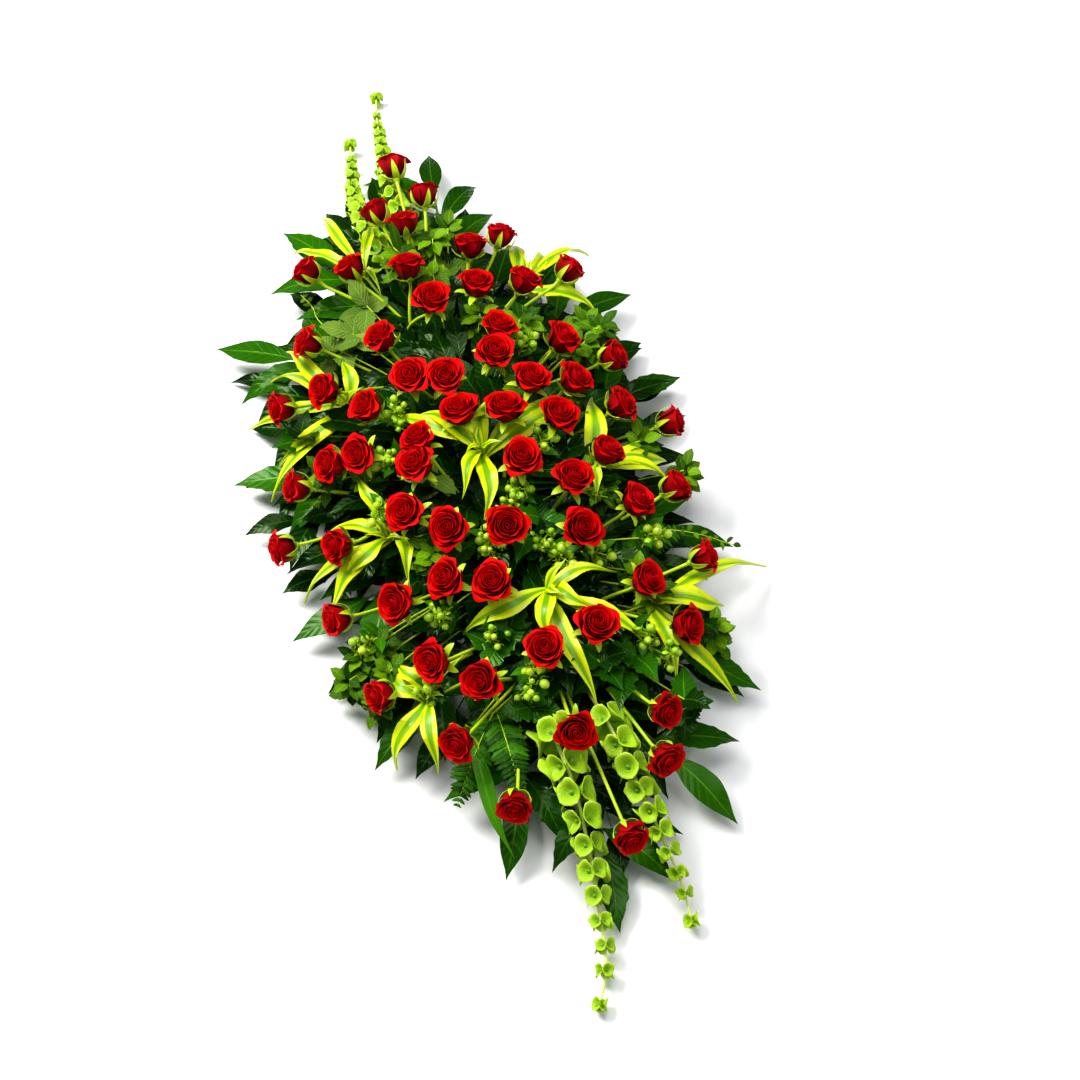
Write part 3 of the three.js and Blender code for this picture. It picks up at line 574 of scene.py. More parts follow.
paint = Paint("fresh_stem", 0.4, 0.3)
fresh_stem = paint.finish(
    paint.blend(paint.noise(26.0, 5.0), (140, 178, 12), (206, 226, 48)), paint.noise(700.0, 2.0), 0.3, 0.0003)

GOLDEN_TURN = math.radians(137.5)
for b, (name, (foot, fork, roses)) in enumerate(bunches.items()):
    petals, greens, stems = [], [], []
    lean = unit(fork - foot)
    side, rise = across(lean)
    order = [math.atan2(np.dot(rose[0] - fork, rise), np.dot(rose[0] - fork, side)) for rose in roses]
    for k, (middle, axis, opened, full) in enumerate(roses):
        seed = 10 * b + k
        radius = full * ROSE["drawn"]
        step = int(np.argmin([abs(opened - o) for o in OPENINGS]))
        flat = across(axis)
        for i in range(ROSE["petals"]):
            out = around(flat, seed * 1.7 + GOLDEN_TURN * i)
            vary = 1 + 0.05 * (chance(seed + 0.37 * i) - 0.5)
            petals.append((middle, out, axis, radius * vary, step * ROSE["petals"] + i, chance(seed + i)))
        sepal = 0 if opened < 0.45 else 1 if opened < 0.65 else 2
        for i in range(5):
            out = around(flat, seed * 1.7 + 2 * math.pi * (i + 0.2 * chance(seed + i)) / 5)
            size = radius * (0.9 + 0.3 * chance(3 * seed + i))
            greens.append((middle, out, axis, [radius, size, radius], sepal, chance(seed * 5 + i)))
        base = middle + axis * radius * flower_foot(opened)
        greens.append((base, flat[0], axis, radius, 3, 0.5))
        place = sum(o < order[k] for o in order) - sum(o < order[0] for o in order)
        apart = around((side, rise), order[0] + 2 * math.pi * place / len(order)) * ROSE["apart"] * 1.15
        neck = base - axis * 0.24 * radius
        stems.append([
            (foot + apart, ROSE["stem"]), (fork + apart, ROSE["stem"]),
            (lerp(fork + apart, neck, 0.55) + lean * 3, ROSE["stem"] * 0.95),
            (neck - axis * 12, ROSE["stem"] * 0.9), (neck, ROSE["stem"] * 1.05)])
    hand_over("rose_petals_" + name, [
        place_all(petals, petal_kinds, rose_petal, 0.07, b)], ["roses_" + name])
    hand_over("rose_greens_" + name, [
        place_all(greens, green_kinds, fresh_stem, 0.08, b), draw_stems(stems, fresh_stem)],
        ["roses_" + name])


# Bells of Ireland.
# Four spikes of green bells trail over the ends. Each whorl is a ring of papery cups, open outwards
# and net-veined, and the cups get smaller towards the tip. The stem shows between the upper two.
BELL = {
    "narrow": 0.4, "stem": 3.8, "tip": 1.6, "round": 5, "last": 0.9, "gap": 0.64, "bud": 9.5, "buds": 7}
BELL_SPIKES = {
    "bells_foot_left": (
        [[322, -24, 56], [385, -44, 92], [440, -50, 104], [516, -44, 90], [600, -48, 58], [693, -62, 34],
         [765, -75, 24], [824, -104, 14]], 0.26, 10, 21),
    "bells_foot_right": (
        [[326, 16, 56], [400, 24, 90], [470, 31, 108], [562, 44, 84], [628, 54, 56], [690, 61, 34],
         [748, 57, 18]], 0.3, 9, 19),
    "bells_head_left": (
        [[-322, -18, 56], [-420, -36, 72], [-503, -43, 76], [-579, -47, 62], [-628, -46, 50], [-718, -27, 34],
         [-774, -14, 24]], 0.3, 12, 15),
    "bells_head_right": (
        [[-330, 24, 56], [-430, 26, 64], [-540, 21, 66], [-621, 15, 60], [-724, 29, 42], [-780, 38, 32],
         [-829, 47, 24], [-868, 58, 18]], 0.45, 10, 13),
}
# From one bud, leaf or berry to the next round a stem, in radians
STEP_ROUND = 2.4


class Route:
    """A smooth stem through given points, read by share of its length."""

    def __init__(self, points, fine=200):
        knots = np.array(points, float)
        ends = [2 * knots[0] - knots[1], *knots, 2 * knots[-1] - knots[-2]]
        line = []
        for p0, p1, p2, p3 in zip(ends, ends[1:], ends[2:], ends[3:]):
            m1, m2 = 0.5 * (p2 - p0), 0.5 * (p3 - p1)
            for t in np.linspace(0, 1, fine, endpoint=False):
                line.append((2 * t**3 - 3 * t**2 + 1) * p1 + (t**3 - 2 * t**2 + t) * m1
                            + (3 * t**2 - 2 * t**3) * p2 + (t**3 - t**2) * m2)
        line.append(knots[-1])
        self.line = np.array(line)
        self.run = np.concatenate([[0], np.cumsum(np.linalg.norm(np.diff(self.line, axis=0), axis=1))])
        self.length = self.run[-1]

    def at(self, share):
        return np.array([np.interp(share * self.length, self.run, self.line[:, k]) for k in range(3)])

    def along(self, share):
        return unit(self.at(min(1, share + 0.002)) - self.at(max(0, share - 0.002)))

    def joints(self, count):
        return [self.at(k / count) for k in range(count + 1)]

    def tapered(self, first, last, count):
        """Points along the stem with radii that go from first to last."""
        return [(self.at(s), lerp(first, last, s)) for s in np.linspace(0, 1, count)]


def on_stem(joints, share):
    place = share * (len(joints) - 1)
    i = min(int(place), len(joints) - 2)
    return lerp(joints[i], joints[i + 1], place - i)


bell_kinds = new_kinds("bell_kinds")
BELL_OUTSIDE = [(0, -0.03), (0.10, 0.0), (0.24, 0.14), (0.5, 0.46), (0.8, 0.78), (1.1, 0.98)]
BELL_INSIDE = [(1.08, 1.01), (0.84, 0.9), (0.5, 0.62), (0.2, 0.32), (0.15, 0.6), (0, 0.64)]
for variant in range(3):
    def wavy(radius, height, angle, turn=variant * 2.1):
        share = min(1.0, radius) ** 2
        reach = radius * (1 + share * (0.04 * math.cos(5 * angle + turn) + 0.09 * math.cos(2 * angle)))
        return reach, height + share * (0.16 * math.cos(2 * angle + 0.4 * turn) + 0.07 * math.cos(3 * angle))
    lathe(f"bell_{variant}", BELL_OUTSIDE + BELL_INSIDE, 14, bell_kinds, wavy)

paint = Paint("bell_cup", 0.45, 0.25)
net = paint.add("ShaderNodeTexVoronoi", {"Vector": paint.place(), "Scale": 260.0}, feature="DISTANCE_TO_EDGE")
veins = paint.ramp(net["Distance"], 0.0, 0.12, 1.0, 0.0)
body = paint.blend(paint.ramp(paint.stored("across"), 0.15, 0.95), (96, 148, 6), (170, 206, 34))
body = paint.blend(paint.maths("MULTIPLY", veins, 0.35), body, (204, 228, 84))
body = paint.blend(paint.maths("MULTIPLY", paint.stored("tone"), 0.4), body, (160, 200, 12))
lip = paint.ramp(paint.stored("across"), 0.86, 1.0, 0.0, 0.6)
bell_cup = paint.finish(paint.blend(lip, body, (232, 242, 150)), veins, 0.25, 0.0003)

paint = Paint("bell_stem", 0.45, 0.4)
bell_stem = paint.finish(paint.blend(paint.noise(60.0, 4.0), (184, 208, 72), (236, 242, 150)))

for b, (name, (points, first_whorl, whorls, wide)) in enumerate(BELL_SPIKES.items()):
    route = Route(points)
    joints = route.joints(8)
    cups = []
    for i in range(whorls):
        share = i / (whorls - 1)
        at = lerp(first_whorl, BELL["last"], share ** 0.9)
        centre, along = on_stem(joints, at), route.along(at)
        radius = wide * lerp(1, BELL["narrow"], share)
        for k in range(BELL["round"]):
            seed = 100 * b + 10 * i + k
            angle = math.pi / 2 + lerp(BELL["gap"], 2 * math.pi - BELL["gap"], k / (BELL["round"] - 1))
            angle += 0.3 * (i % 2 - 0.5) + 0.3 * (chance(seed) - 0.5)
            out = unit(around(across(along), angle) + along * (0.25 + 0.35 * chance(seed + 1)))
            size = radius * (0.8 + 0.24 * chance(seed + 2))
            if centre[2] + out[2] * size * 1.3 - size * 0.8 >= 2:
                sizes = [size, size, 1.25 * size]
                cups.append((centre + out * 0.2 * size, along, out, sizes, seed % 3, chance(seed + 3)))
    flat = across(along)
    for k in range(BELL["buds"]):
        out = unit(around(flat, STEP_ROUND * k) + along * (0.3 + 0.25 * k))
        middle = route.at(1) - along * (BELL["buds"] - k)
        cups.append((middle, along, out, BELL["bud"] * (1 - 0.09 * k), k % 3, 0.9))
    hand_over("spike_" + name, [
        place_all(cups, bell_kinds, bell_cup, 0.1, b),
        draw_stems([route.tapered(BELL["stem"], BELL["tip"], 14)], bell_stem)], [name])


# Variegated blades.
# Nine shoots of long pointed leaves stand in the foam, each a whorl of thin arched blades that are
# green down the middle and yellow at both edges. Their tips bend past the roses.
BLADE = {"width": 24, "arch": 24, "stem": 2.6, "step": 5}
BLADE_SHOOTS = {
    "blades_crown": ([-8, -12], [-5, -14, 176], [
        [-146, -93, 156], [-120, -62, 182], [60, -72, 172], [116, -42, 170], [-90, 10, 200], [-84, 120, 160],
        [-52, 146, 148]]),
    "blades_lower": ([215, 6], [250, 4, 160], [
        [258, -124, 138], [330, -18, 150], [429, 32, 124], [372, 134, 118], [236, 112, 150], [300, 60, 160]]),
    "blades_shoulder_left": ([-188, -40], [-185, -180, 112], [
        [-337, -244, 78], [-306, -272, 68], [-262, -150, 124], [-222, -330, 46], [-128, -296, 72],
        [-100, -328, 54]]),
    "blades_side_left": ([62, -40], [72, -188, 122], [
        [100, -265, 96], [86, -325, 56], [128, -302, 70], [-46, -200, 128], [165, -170, 136],
        [12, -270, 84]]),
    "blades_foot_left": ([283, -44], [338, -208, 96], [
        [302, -262, 74], [404, -272, 48], [436, -226, 66], [270, -232, 96]]),
    "blades_foot_right": ([268, 36], [292, 160, 116], [
        [212, 362, 30], [308, 262, 76], [458, 222, 62], [420, 150, 98]]),
    "blades_side_right": ([45, 38], [58, 142, 142], [
        [88, 262, 98], [52, 262, 96], [-70, 192, 130], [122, 128, 158]]),
    "blades_head_right": ([-268, 38], [-330, 160, 112], [
        [-420, 288, 40], [-430, 156, 92], [-400, 222, 66], [-268, 268, 74]]),
    "blades_head_left": ([-285, -20], [-440, -82, 100], [
        [-608, -114, 56], [-540, -40, 84], [-372, -74, 132], [-560, -170, 48]]),
}
BLADE_WIDTHS = {"blades_head_left": 17, "blades_head_right": 24, "blades_shoulder_left": 26}


def in_foam(hole):
    """The foot of a shoot, in its hole of the foam."""
    return vec(*hole, FOAM_DEPTH["shoot"])


def turned(run, degrees):
    c, s = math.cos(math.radians(degrees)), math.sin(math.radians(degrees))
    return np.array([run[0] * c - run[1] * s, run[0] * s + run[1] * c, run[2]])


def bend_clear(root, tip, width, arch, most=None):
    """Turns and lifts a leaf's tip, a little at a time, until its rib is clear of every rose head.

    Where it never gets as clear as most, in millimetres, there is no leaf."""
    best = None
    shares = np.array([0.25, 0.4, 0.55, 0.7, 0.85, 1.0])
    room = 2 + 0.35 * width * np.sin(np.pi * np.minimum(shares, 0.9))
    for lift in (0, 14, -14, 28):
        for turn in (0, 6, -6, 12, -12, 18, -18):
            run = turned(tip - root, turn) + np.array([0, 0, lift])
            if root[2] + run[2] < 12:
                continue
            spots = root + shares[:, None] * run
            spots[:, 2] += 4 * arch * shares * (1 - shares)
            gaps = np.linalg.norm(spots[:, None] - head_middles[None], axis=2)
            clash = np.maximum(0, head_radii[None] + room[:, None] - gaps).sum()
            clash += 0.02 * abs(turn) + 0.01 * abs(lift)
            if best is None or clash < best[0]:
                best = (clash, root + run)
            if clash == 0:
                return best[1]
    return None if most is not None and best[0] > most else best[1]


def leaf_at(root, tip, width, arch, kind, tone):
    """A place for a leaf that is one long, one wide and one high in its own mesh."""
    run = tip - root
    along = unit(run)
    side = unit(np.cross(along, UP))
    return root, along, np.cross(side, along), [np.linalg.norm(run), width, arch], kind, tone


def leaf_surface(outline, fold, wave, waves, twist=0.0, hook=0.0, teeth=0.0, seed=0.0, sway=0.05):
    """A leaf from 0 to 1 along X, about 1 wide and arched 1 high, with waved or toothed edges."""
    def surface(u, v):
        share = np.interp(v, *zip(*outline))
        if teeth:
            saw = np.abs((v * teeth + 0.25) % 1 - 0.5) * 2
            share = share * (1 + 0.16 * (saw - 0.5) * np.abs(u) ** 3)
        y = 0.5 * share * u
        z = 4 * v * (1 - v) + fold * np.abs(u) * share
        z = z + wave * share * np.sin(waves * v * 6.28 + seed + 1.5 * u) * u
        z = z + twist * y * v**2 - hook * v**4
        x = v + 0.05 * np.abs(u) * share * 0.5
        return np.stack([x, y + sway * v * np.sin(5 * v + seed), z], -1)
    return surface


def clear_leaf(root, end, spare, most, width, arch, kind, tone):
    """The leaf's place in a list, bent clear of the roses by its spare width and arch, or an empty list."""
    tip = bend_clear(root, end, *spare, most)
    return [] if tip is None else [leaf_at(root, tip, width, arch, kind, tone)]


blade_kinds = new_kinds("blade_kinds")
BLADE_OUTLINE = [
    (0, 0.24), (0.1, 0.4), (0.25, 0.82), (0.4, 1.0), (0.56, 0.86), (0.72, 0.52), (0.86, 0.2), (1.0, 0.03)]
for variant, twist in enumerate((-0.8, 1.0, 0.5, -0.6)):
    shell(f"blade_{variant}", leaf_surface(
        BLADE_OUTLINE, 0.16, 0.16, 1.5 + 0.4 * variant, twist, 0.25, seed=1.7 * variant, sway=0.35),
        6, 14, 0.03, blade_kinds)

paint = Paint("variegated_blade", 0.34, 0.3)
streak, patch = streaked(paint, 9.0, 40.0)
zone = paint.maths("ADD", paint.maths("ABSOLUTE", paint.stored("across")),
                   paint.maths("MULTIPLY_ADD", streak, 0.9, -0.45))
heart = paint.blend(streak, (60, 124, 2), (144, 190, 12))
rim = paint.blend(patch, (172, 202, 2), (228, 230, 30))
body = paint.blend(paint.ramp(zone, 0.22, 0.52), heart, rim)
body = paint.blend(paint.maths("MULTIPLY", paint.stored("outside"), 0.5), body, (156, 188, 26))
variegated = paint.finish(body, streak, 0.35, 0.0006)

for b, (name, (hole, crown, tips)) in enumerate(BLADE_SHOOTS.items()):
    top, foot = vec(*crown), in_foam(hole)
    down = unit(foot - top)
    blades = []
    for k, entry in enumerate(tips):
        root = top + down * (1 + BLADE["step"] * k)
        seed = 20 * b + k
        width = BLADE_WIDTHS.get(name, 30) * (0.8 + 0.4 * chance(seed))
        blades.extend(clear_leaf(
            root, vec(*entry), (BLADE["width"], BLADE["arch"]), None, width, BLADE["arch"], seed % 4,
            chance(seed + 5)))
    for k in range(3):
        seed = 500 + 20 * b + k
        angle = STEP_ROUND * k + 5 * chance(seed)
        reach = 22 + 26 * chance(seed + 1)
        root = top + down * (2 + 2 * k)
        tip = root + vec(math.cos(angle) * reach, math.sin(angle) * reach, 36 - 16 * chance(seed + 2))
        blades.extend(clear_leaf(
            root, tip, (12, 8), None, 11 + 5 * chance(seed + 3), 8, seed % 4, chance(seed + 5)))
    stem = [(foot, BLADE["stem"]), (lerp(foot, top, 0.5), BLADE["stem"]), (top, BLADE["stem"] * 0.8)]
    hand_over("shoot_" + name, [
        place_all(blades, blade_kinds, variegated, 0.02, b), draw_stems([stem], fresh_stem)], [name])


# Laurel.
# Thirteen woody sprays of broad dark leaves make the collar under the roses. The leaves are leathery
# and glossy, with a pale rib, sunken side veins and a faintly toothed, waved edge.
LAUREL = {
    "length": 125, "width": 44, "arch": 18, "first": 0.985, "step": 36, "spread": 46, "stem": 2.6, "tip": 1.8}
LAUREL_SPRAYS = {
    "laurel_head_right": ([[-316, 16, 50], [-430, 56, 54], [-612, 86, 44]], 5),
    "laurel_head_left": ([[-318, -14, 50], [-400, -62, 62], [-490, -108, 58]], 4),
    "laurel_shoulder_left": ([[-236, -30, 50], [-262, -110, 62], [-340, -228, 56]], 4),
    "laurel_side_left": ([[-60, -30, 50], [-80, -120, 60], [-112, -240, 56]], 5),
    "laurel_rim_left": ([[72, -30, 50], [98, -120, 60], [122, -235, 54]], 5),
    "laurel_foot_left": ([[215, -30, 50], [252, -105, 60], [322, -205, 54]], 4),
    "laurel_foot_end_left": ([[318, -20, 50], [420, -72, 54], [508, -118, 44]], 4),
    "laurel_foot_end": ([[322, 2, 50], [450, -2, 42], [615, -24, 26]], 3),
    "laurel_foot_end_right": ([[312, 28, 50], [420, 66, 56], [508, 112, 46]], 4),
    "laurel_foot_right": ([[228, 30, 50], [268, 95, 60], [345, 178, 56]], 4),
    "laurel_rim_right": ([[72, 30, 50], [105, 115, 60], [146, 218, 56]], 5),
    "laurel_side_right": ([[-60, 30, 50], [-78, 120, 60], [-112, 248, 54]], 5),
    "laurel_shoulder_right": ([[-252, 30, 50], [-258, 115, 60], [-288, 225, 54]], 4),
}
laurel_kinds = new_kinds("laurel_kinds")
LAUREL_OUTLINE = [
    (0, 0.05), (0.06, 0.12), (0.16, 0.52), (0.32, 0.9), (0.48, 1.0), (0.64, 0.84), (0.78, 0.5), (0.9, 0.17),
    (1.0, 0.01)]
for variant, (twist, teeth) in enumerate(((0.3, 0), (-0.4, 8.5), (0.5, 0), (-0.2, 9.5))):
    shell(f"laurel_{variant}", leaf_surface(
        LAUREL_OUTLINE, 0.18, 0.12, 1.6 + 0.4 * variant, twist, teeth=teeth, seed=2.3 * variant),
        6, 15, 0.04, laurel_kinds)


def veins_group():
    """Side veins that leave the rib at a slant, as a mask and as a height."""
    group, given = new_group("Leaf veins", "ShaderNodeTree", {
        "Vein Count": "Float", "Slant": "Float", "Vein Width": "Float"},
        {"Rib": "Float", "Veins": "Float", "Height": "Float"})
    maths = group.maths
    reach = maths("ABSOLUTE", group.stored("across"))
    run = maths("SUBTRACT", group.stored("along"), maths("MULTIPLY", reach, given["Slant"]))
    wave = maths("FRACT", maths("MULTIPLY", run, given["Vein Count"]))
    gap = maths("ABSOLUTE", maths("SUBTRACT", wave, 0.5))
    veins = group.ramp(gap, 0.0, given["Vein Width"], 1.0, 0.0)
    rib = group.ramp(reach, 0.02, 0.09, 1.0, 0.0)
    both = maths("MAXIMUM", maths("MULTIPLY", veins, 0.5), rib)
    group.add("NodeGroupOutput", [rib, veins, maths("SUBTRACT", maths("MULTIPLY", gap, 1.4), both)])
    return group.tree


venation = veins_group()


def leaf_paint(name, dark, light, pale, under, roughness, specular, count, slant, depth):
    """A green leaf: darker and lighter by tone, a pale rib, side veins in relief, and a dull underside."""
    paint = Paint(name, roughness, specular)
    rib, veins, height = paint.add("ShaderNodeGroup", (count, slant, 0.1), node_tree=venation)
    _, patch = streaked(paint, 6.0, 30.0)
    tone = paint.stored("tone")
    share = paint.maths("MULTIPLY", tone, paint.maths("MULTIPLY_ADD", patch, 0.6, 0.7))
    body = paint.blend(share, dark, light)
    paler = paint.maths("MULTIPLY_ADD", tone, 0.6, 0.2)
    body = paint.blend(paint.maths("MULTIPLY", veins, paint.maths("MULTIPLY", paler, 0.35)), body, pale)
    body = paint.blend(paint.maths("MULTIPLY", rib, paler), body, pale)
    body = paint.blend(paint.maths("MULTIPLY", paint.stored("outside"), 0.8), body, under)
    rough = paint.ramp(patch, 0.3, 0.7, roughness * 0.75, roughness * 1.3)
    paint.tree.links.new(rough, paint.shader["Roughness"])
    paint.shader["Specular Tint"].default_value = (0.66, 0.92, 0.5, 1)
    return paint.finish(body, height, 0.4, depth)


laurel_leaf = leaf_paint(
    "laurel_leaf", (3, 31, 1), (40, 95, 1), (84, 138, 14), (56, 108, 12), 0.18, 0.2, 9.0, 0.16, 0.0006)
woody_stem = leaf_paint(
    "woody_stem", (60, 84, 30), (96, 112, 46), (96, 112, 46), (70, 90, 40), 0.5, 0.4, 5.0, 0.1, 0.0004)


def to_side(k):
    """The first leaf goes straight on, and the rest go to the left and the right in turn."""
    return 0 if k == 0 else 1 if k % 2 else -1


for index, (name, (points, count)) in enumerate(LAUREL_SPRAYS.items()):
    route = Route(points)
    joints = route.joints(3)
    leaves = []
    for k in range(count):
        at = LAUREL["first"] - k * LAUREL["step"] / route.length
        vary = chance(10 * index + k)
        turn = to_side(k) * (LAUREL["spread"] + 10 * (vary - 0.5))
        ahead = route.along(at) * vec(1, 1, 0)
        run = turned(unit(ahead), turn) * LAUREL["length"] * (0.86 + 0.28 * vary)
        root = on_stem(joints, at) + run * (1 if k else -3) / LAUREL["length"]
        width = LAUREL["width"] * (0.86 + 0.28 * vary)
        end = root + run
        end[2] = max(16, root[2] - 26 + 5 * k)
        arch = LAUREL["arch"] * (1 if k else 0.4)
        leaves.extend(clear_leaf(
            root, end, (width, arch), None, width, arch, (index + k) % 4, lerp(0.3, 1.0, vary)))
    hand_over("spray_" + name, [
        place_all(leaves, laurel_kinds, laurel_leaf, 0.02, index),
        draw_stems([route.tapered(LAUREL["stem"], LAUREL["tip"], 8)], woody_stem)], [name])


# Berries.
# Sprigs of round green berries, each on its own short stalk with five small bracts, stand among the
# roses. They are smooth and glossy, and painted darker towards the stalk end as painted shade.
BERRY = {"radius": 5.5, "out": 6, "step": 6, "stem": 1.8, "tip": 1.6}
BERRY_SPRIGS = {
    "berries_crown": ([138, 12], [[98, 2, 188, 4], [170, -64, 182, 3], [190, 24, 182, 3]]),
    "berries_left": ([-92, -22], [[-94, -122, 172, 4], [-30, -152, 168, 3]]),
    "berries_foot": ([276, -14], [[404, -74, 150, 4], [296, -98, 156, 3]]),
}
berry_kinds = new_kinds("berry_kinds")
BERRY_PROFILE = [
    (0, -1.0), (0.45, -0.9), (0.82, -0.55), (0.96, -0.05), (0.86, 0.45), (0.5, 0.82), (0.12, 1.0), (0, 1.12)]
lathe("berry_0", BERRY_PROFILE, 9, berry_kinds)
bract = sepal_surface([0.1, 0.8, 1.5, 1.75], [-1.05, -1.2, -0.9, -0.3])
shell("berry_1_bract", bract, 2, 3, 0.06, berry_kinds)

paint = Paint("berry_skin", 0.14, 0.5)
cloud = paint.noise(120.0, 3.0)
tone = paint.maths("ADD", paint.maths("MULTIPLY", paint.stored("tone"), 0.6),
                   paint.maths("MULTIPLY", cloud, 0.4))
body = paint.blend(tone, (120, 178, 8), (204, 226, 64))
# The stalk end of each berry is painted darker: painted shade where it turns away from the light.
low = paint.ramp(paint.stored("along"), 0.0, 0.5, 0.6, 0.0)
berry_skin = paint.finish(paint.blend(low, body, (96, 150, 8)), cloud, 0.1, 0.0003)


def berry_at(middle, out, size, seed):
    """A berry that points along out, with its five bracts."""
    flat = across(out)
    bracts = [(middle, around(flat, 2 * math.pi * k / 5), out, size, 1, 0.5) for k in range(5)]
    return [(middle, flat[0], out, size, 0, chance(seed)), *bracts]


for b, (name, (hole, clusters)) in enumerate(BERRY_SPRIGS.items()):
    foot = in_foam(hole)
    places, lines = [], []
    for c, (x, y, z, count) in enumerate(clusters):
        end = vec(x, y, z)
        down = unit(foot - end)
        lines.append([(foot, BERRY["stem"]), (lerp(foot, end, 0.5), BERRY["stem"]), (end, BERRY["tip"])])
        for k in range(count + 4):
            seed = 60 * b + 10 * c + k
            aside = around(across(down), STEP_ROUND * k)
            if k < count:
                middle = end + down * BERRY["step"] * k + aside * (BERRY["out"] if k else 0)
                out = unit(aside - down * 0.6) if k else -down
            else:
                middle = end + down * (4 + 9 * (k - count)) + aside * (13 + 6 * chance(seed))
                out = unit(aside - down * 0.7)
                fork = end + down * (16 + 9 * (k - count))
                bend = lerp(fork, middle, 0.6) + down * 2
                lines.append([(fork, 1.1), (bend, 0.9), (middle - out * 4, 0.8)])
            places.extend(berry_at(middle, out, BERRY["radius"] * (0.82 + 0.26 * chance(seed + 1)), seed))
    hand_over("sprig_" + name, [
        place_all(places, berry_kinds, berry_skin, 0.05, b), draw_stems(lines, fresh_stem)], [name])


# Fern.
# Two pairs of fern fronds lie over the collar. Each frond is a thin rib with leaflets in pairs that
# get shorter towards the tip, each leaflet cut into small blunt lobes.
FERN = {"width": 62, "arch": 16, "stem": 1.8, "step": 8, "pairs": 17}
FERN_FRONDS = {
    "fern_foot": ([326, -42], [385, -120, 92], [[478, -215, 60], [520, -120, 92]]),
    "fern_side": ([196, 44], [204, 118, 104], [[300, 222, 58], [165, 250, 78]]),
}
fern_kinds = new_kinds("fern_kinds")
FERN_OUTLINE = [(0, 0.3), (0.1, 1.0), (0.4, 0.86), (0.8, 0.5), (1.0, 0.06)]
for variant in range(2):
    shell(f"fern_{variant}", leaf_surface(FERN_OUTLINE, 0.1, 0.3, 3.0, teeth=5.5, seed=variant),
          4, 12, 0.1, fern_kinds)
fern_leaf = leaf_paint(
    "fern_leaf", (9, 47, 1), (57, 119, 4), (104, 160, 20), (76, 132, 16), 0.34, 0.18, 11.0, 0.2, 0.0005)


def frond(root, tip, seed):
    """The leaflets of one frond and the line of its rib."""
    run, pairs = tip - root, FERN["pairs"]
    along = unit(run)
    side = unit(np.cross(along, UP))
    normal = np.cross(side, along)

    def rib_at(t):
        return root + run * t + normal * 4 * FERN["arch"] * t * (1 - t)

    leaflets = []
    for i in range(pairs):
        t = 0.1 + 0.88 * i / (pairs - 1)
        length = 0.5 * FERN["width"] * max(0.16, math.sin(math.pi * (0.25 + 0.72 * t)) ** 0.8)
        sizes = [length, length * 0.34 + 2, 2.0]
        for sign in (-1, 1):
            out = unit(side * sign + along * 0.45 - normal * 0.12)
            leaflets.append((rib_at(t), out, normal, sizes, i % 2, chance(seed + 2 * i + sign)))
    rib = [rib_at(t) for t in np.linspace(0, 1, 2 * pairs + 1)]
    return leaflets, [(p, lerp(1.2, 0.5, k / (2 * pairs))) for k, p in enumerate(rib)]


for b, (name, (hole, crown, tips)) in enumerate(FERN_FRONDS.items()):
    top, foot = vec(*crown), in_foam(hole)
    down = unit(foot - top)
    leaflets = []
    lines = [[(foot, FERN["stem"]), (lerp(foot, top, 0.6), FERN["stem"]), (top, FERN["stem"])]]
    for k, entry in enumerate(tips):
        root = top + down * (2 + FERN["step"] * k)
        tip = bend_clear(root, vec(*entry), FERN["width"], FERN["arch"])
        more, rib = frond(root, tip, 70 * b + 40 * k)
        leaflets.extend(more)
        lines.append(rib)
    hand_over("frond_" + name, [
        place_all(leaflets, fern_kinds, fern_leaf, 0.12, b), draw_stems(lines, fresh_stem, 5, 8.0)], [name])


# Collar greens.
# Leafy branches are pushed into the sides of the foam in four tiers and fan out flat. Each tier is
# higher and shorter than the one below it, so that together they hide the tray and close the collar.
COLLAR = {"long": 700, "wide": 350, "pointed": 1.25, "bare": 0.28, "length": 96, "width": 36, "spread": 48}
COVER = {"leaves": 70, "first": -332, "step": 9.6, "root": 79.0, "width": 32, "arch": 12}
FOAM_EDGE = {"long": 325, "wide": 34}
COLLAR_TIERS = [(0.86, 26, 40, 30), (0.7, 58, 36, 28), (0.5, 96, 30, 26), (0.3, 128, 20, 26)]
COLLAR_RIM = [
    (0, 0.92), (15, 0.86), (32, 0.8), (45, 0.88), (57, 0.88), (70, 0.76), (82, 0.75), (95, 0.83), (105, 0.97),
    (120, 0.95), (140, 0.93), (160, 0.95), (190, 0.96), (205, 0.9), (225, 0.93), (238, 1.02), (250, 0.94),
    (267, 0.94), (276, 0.9), (287, 0.82), (300, 0.93), (310, 0.95), (321, 0.86), (330, 0.95), (345, 0.93),
    (360, 0.92),
]
green_leaf_kinds = new_kinds("green_leaf_kinds")
ROUND_OUTLINE = [(0, 0.1), (0.08, 0.4), (0.25, 0.9), (0.45, 1.0), (0.7, 0.8), (0.88, 0.4), (1.0, 0.03)]
IVY_OUTLINE = [
    (0, 0.1), (0.05, 0.62), (0.14, 1.0), (0.26, 0.7), (0.34, 0.6), (0.46, 0.86), (0.56, 0.56), (0.76, 0.3),
    (1, 0.02)]
for variant, (twist, teeth) in enumerate(((0.4, 0), (-0.5, 7.5), (0.2, 0))):
    shell(f"leaf_{variant}", leaf_surface(
        LAUREL_OUTLINE, 0.2, 0.14, 1.5 + 0.5 * variant, twist, teeth=teeth, seed=1.9 * variant),
        4, 10, 0.05, green_leaf_kinds)
for name, outline, fold, wave, waves, twist, teeth, rows in (
        ("leaf_3_ivy", IVY_OUTLINE, 0.25, 0.2, 1.2, 0.3, 0, 12),
        ("leaf_4_round", ROUND_OUTLINE, 0.3, 0.25, 2.2, 0.3, 6.5, 12),
        ("leaf_5_curly", ROUND_OUTLINE, 0.4, 0.3, 1.4, 0.5, 0, 4)):
    shell(name, leaf_surface(outline, fold, wave, waves, twist, teeth=teeth), 4, rows, 0.06, green_leaf_kinds)


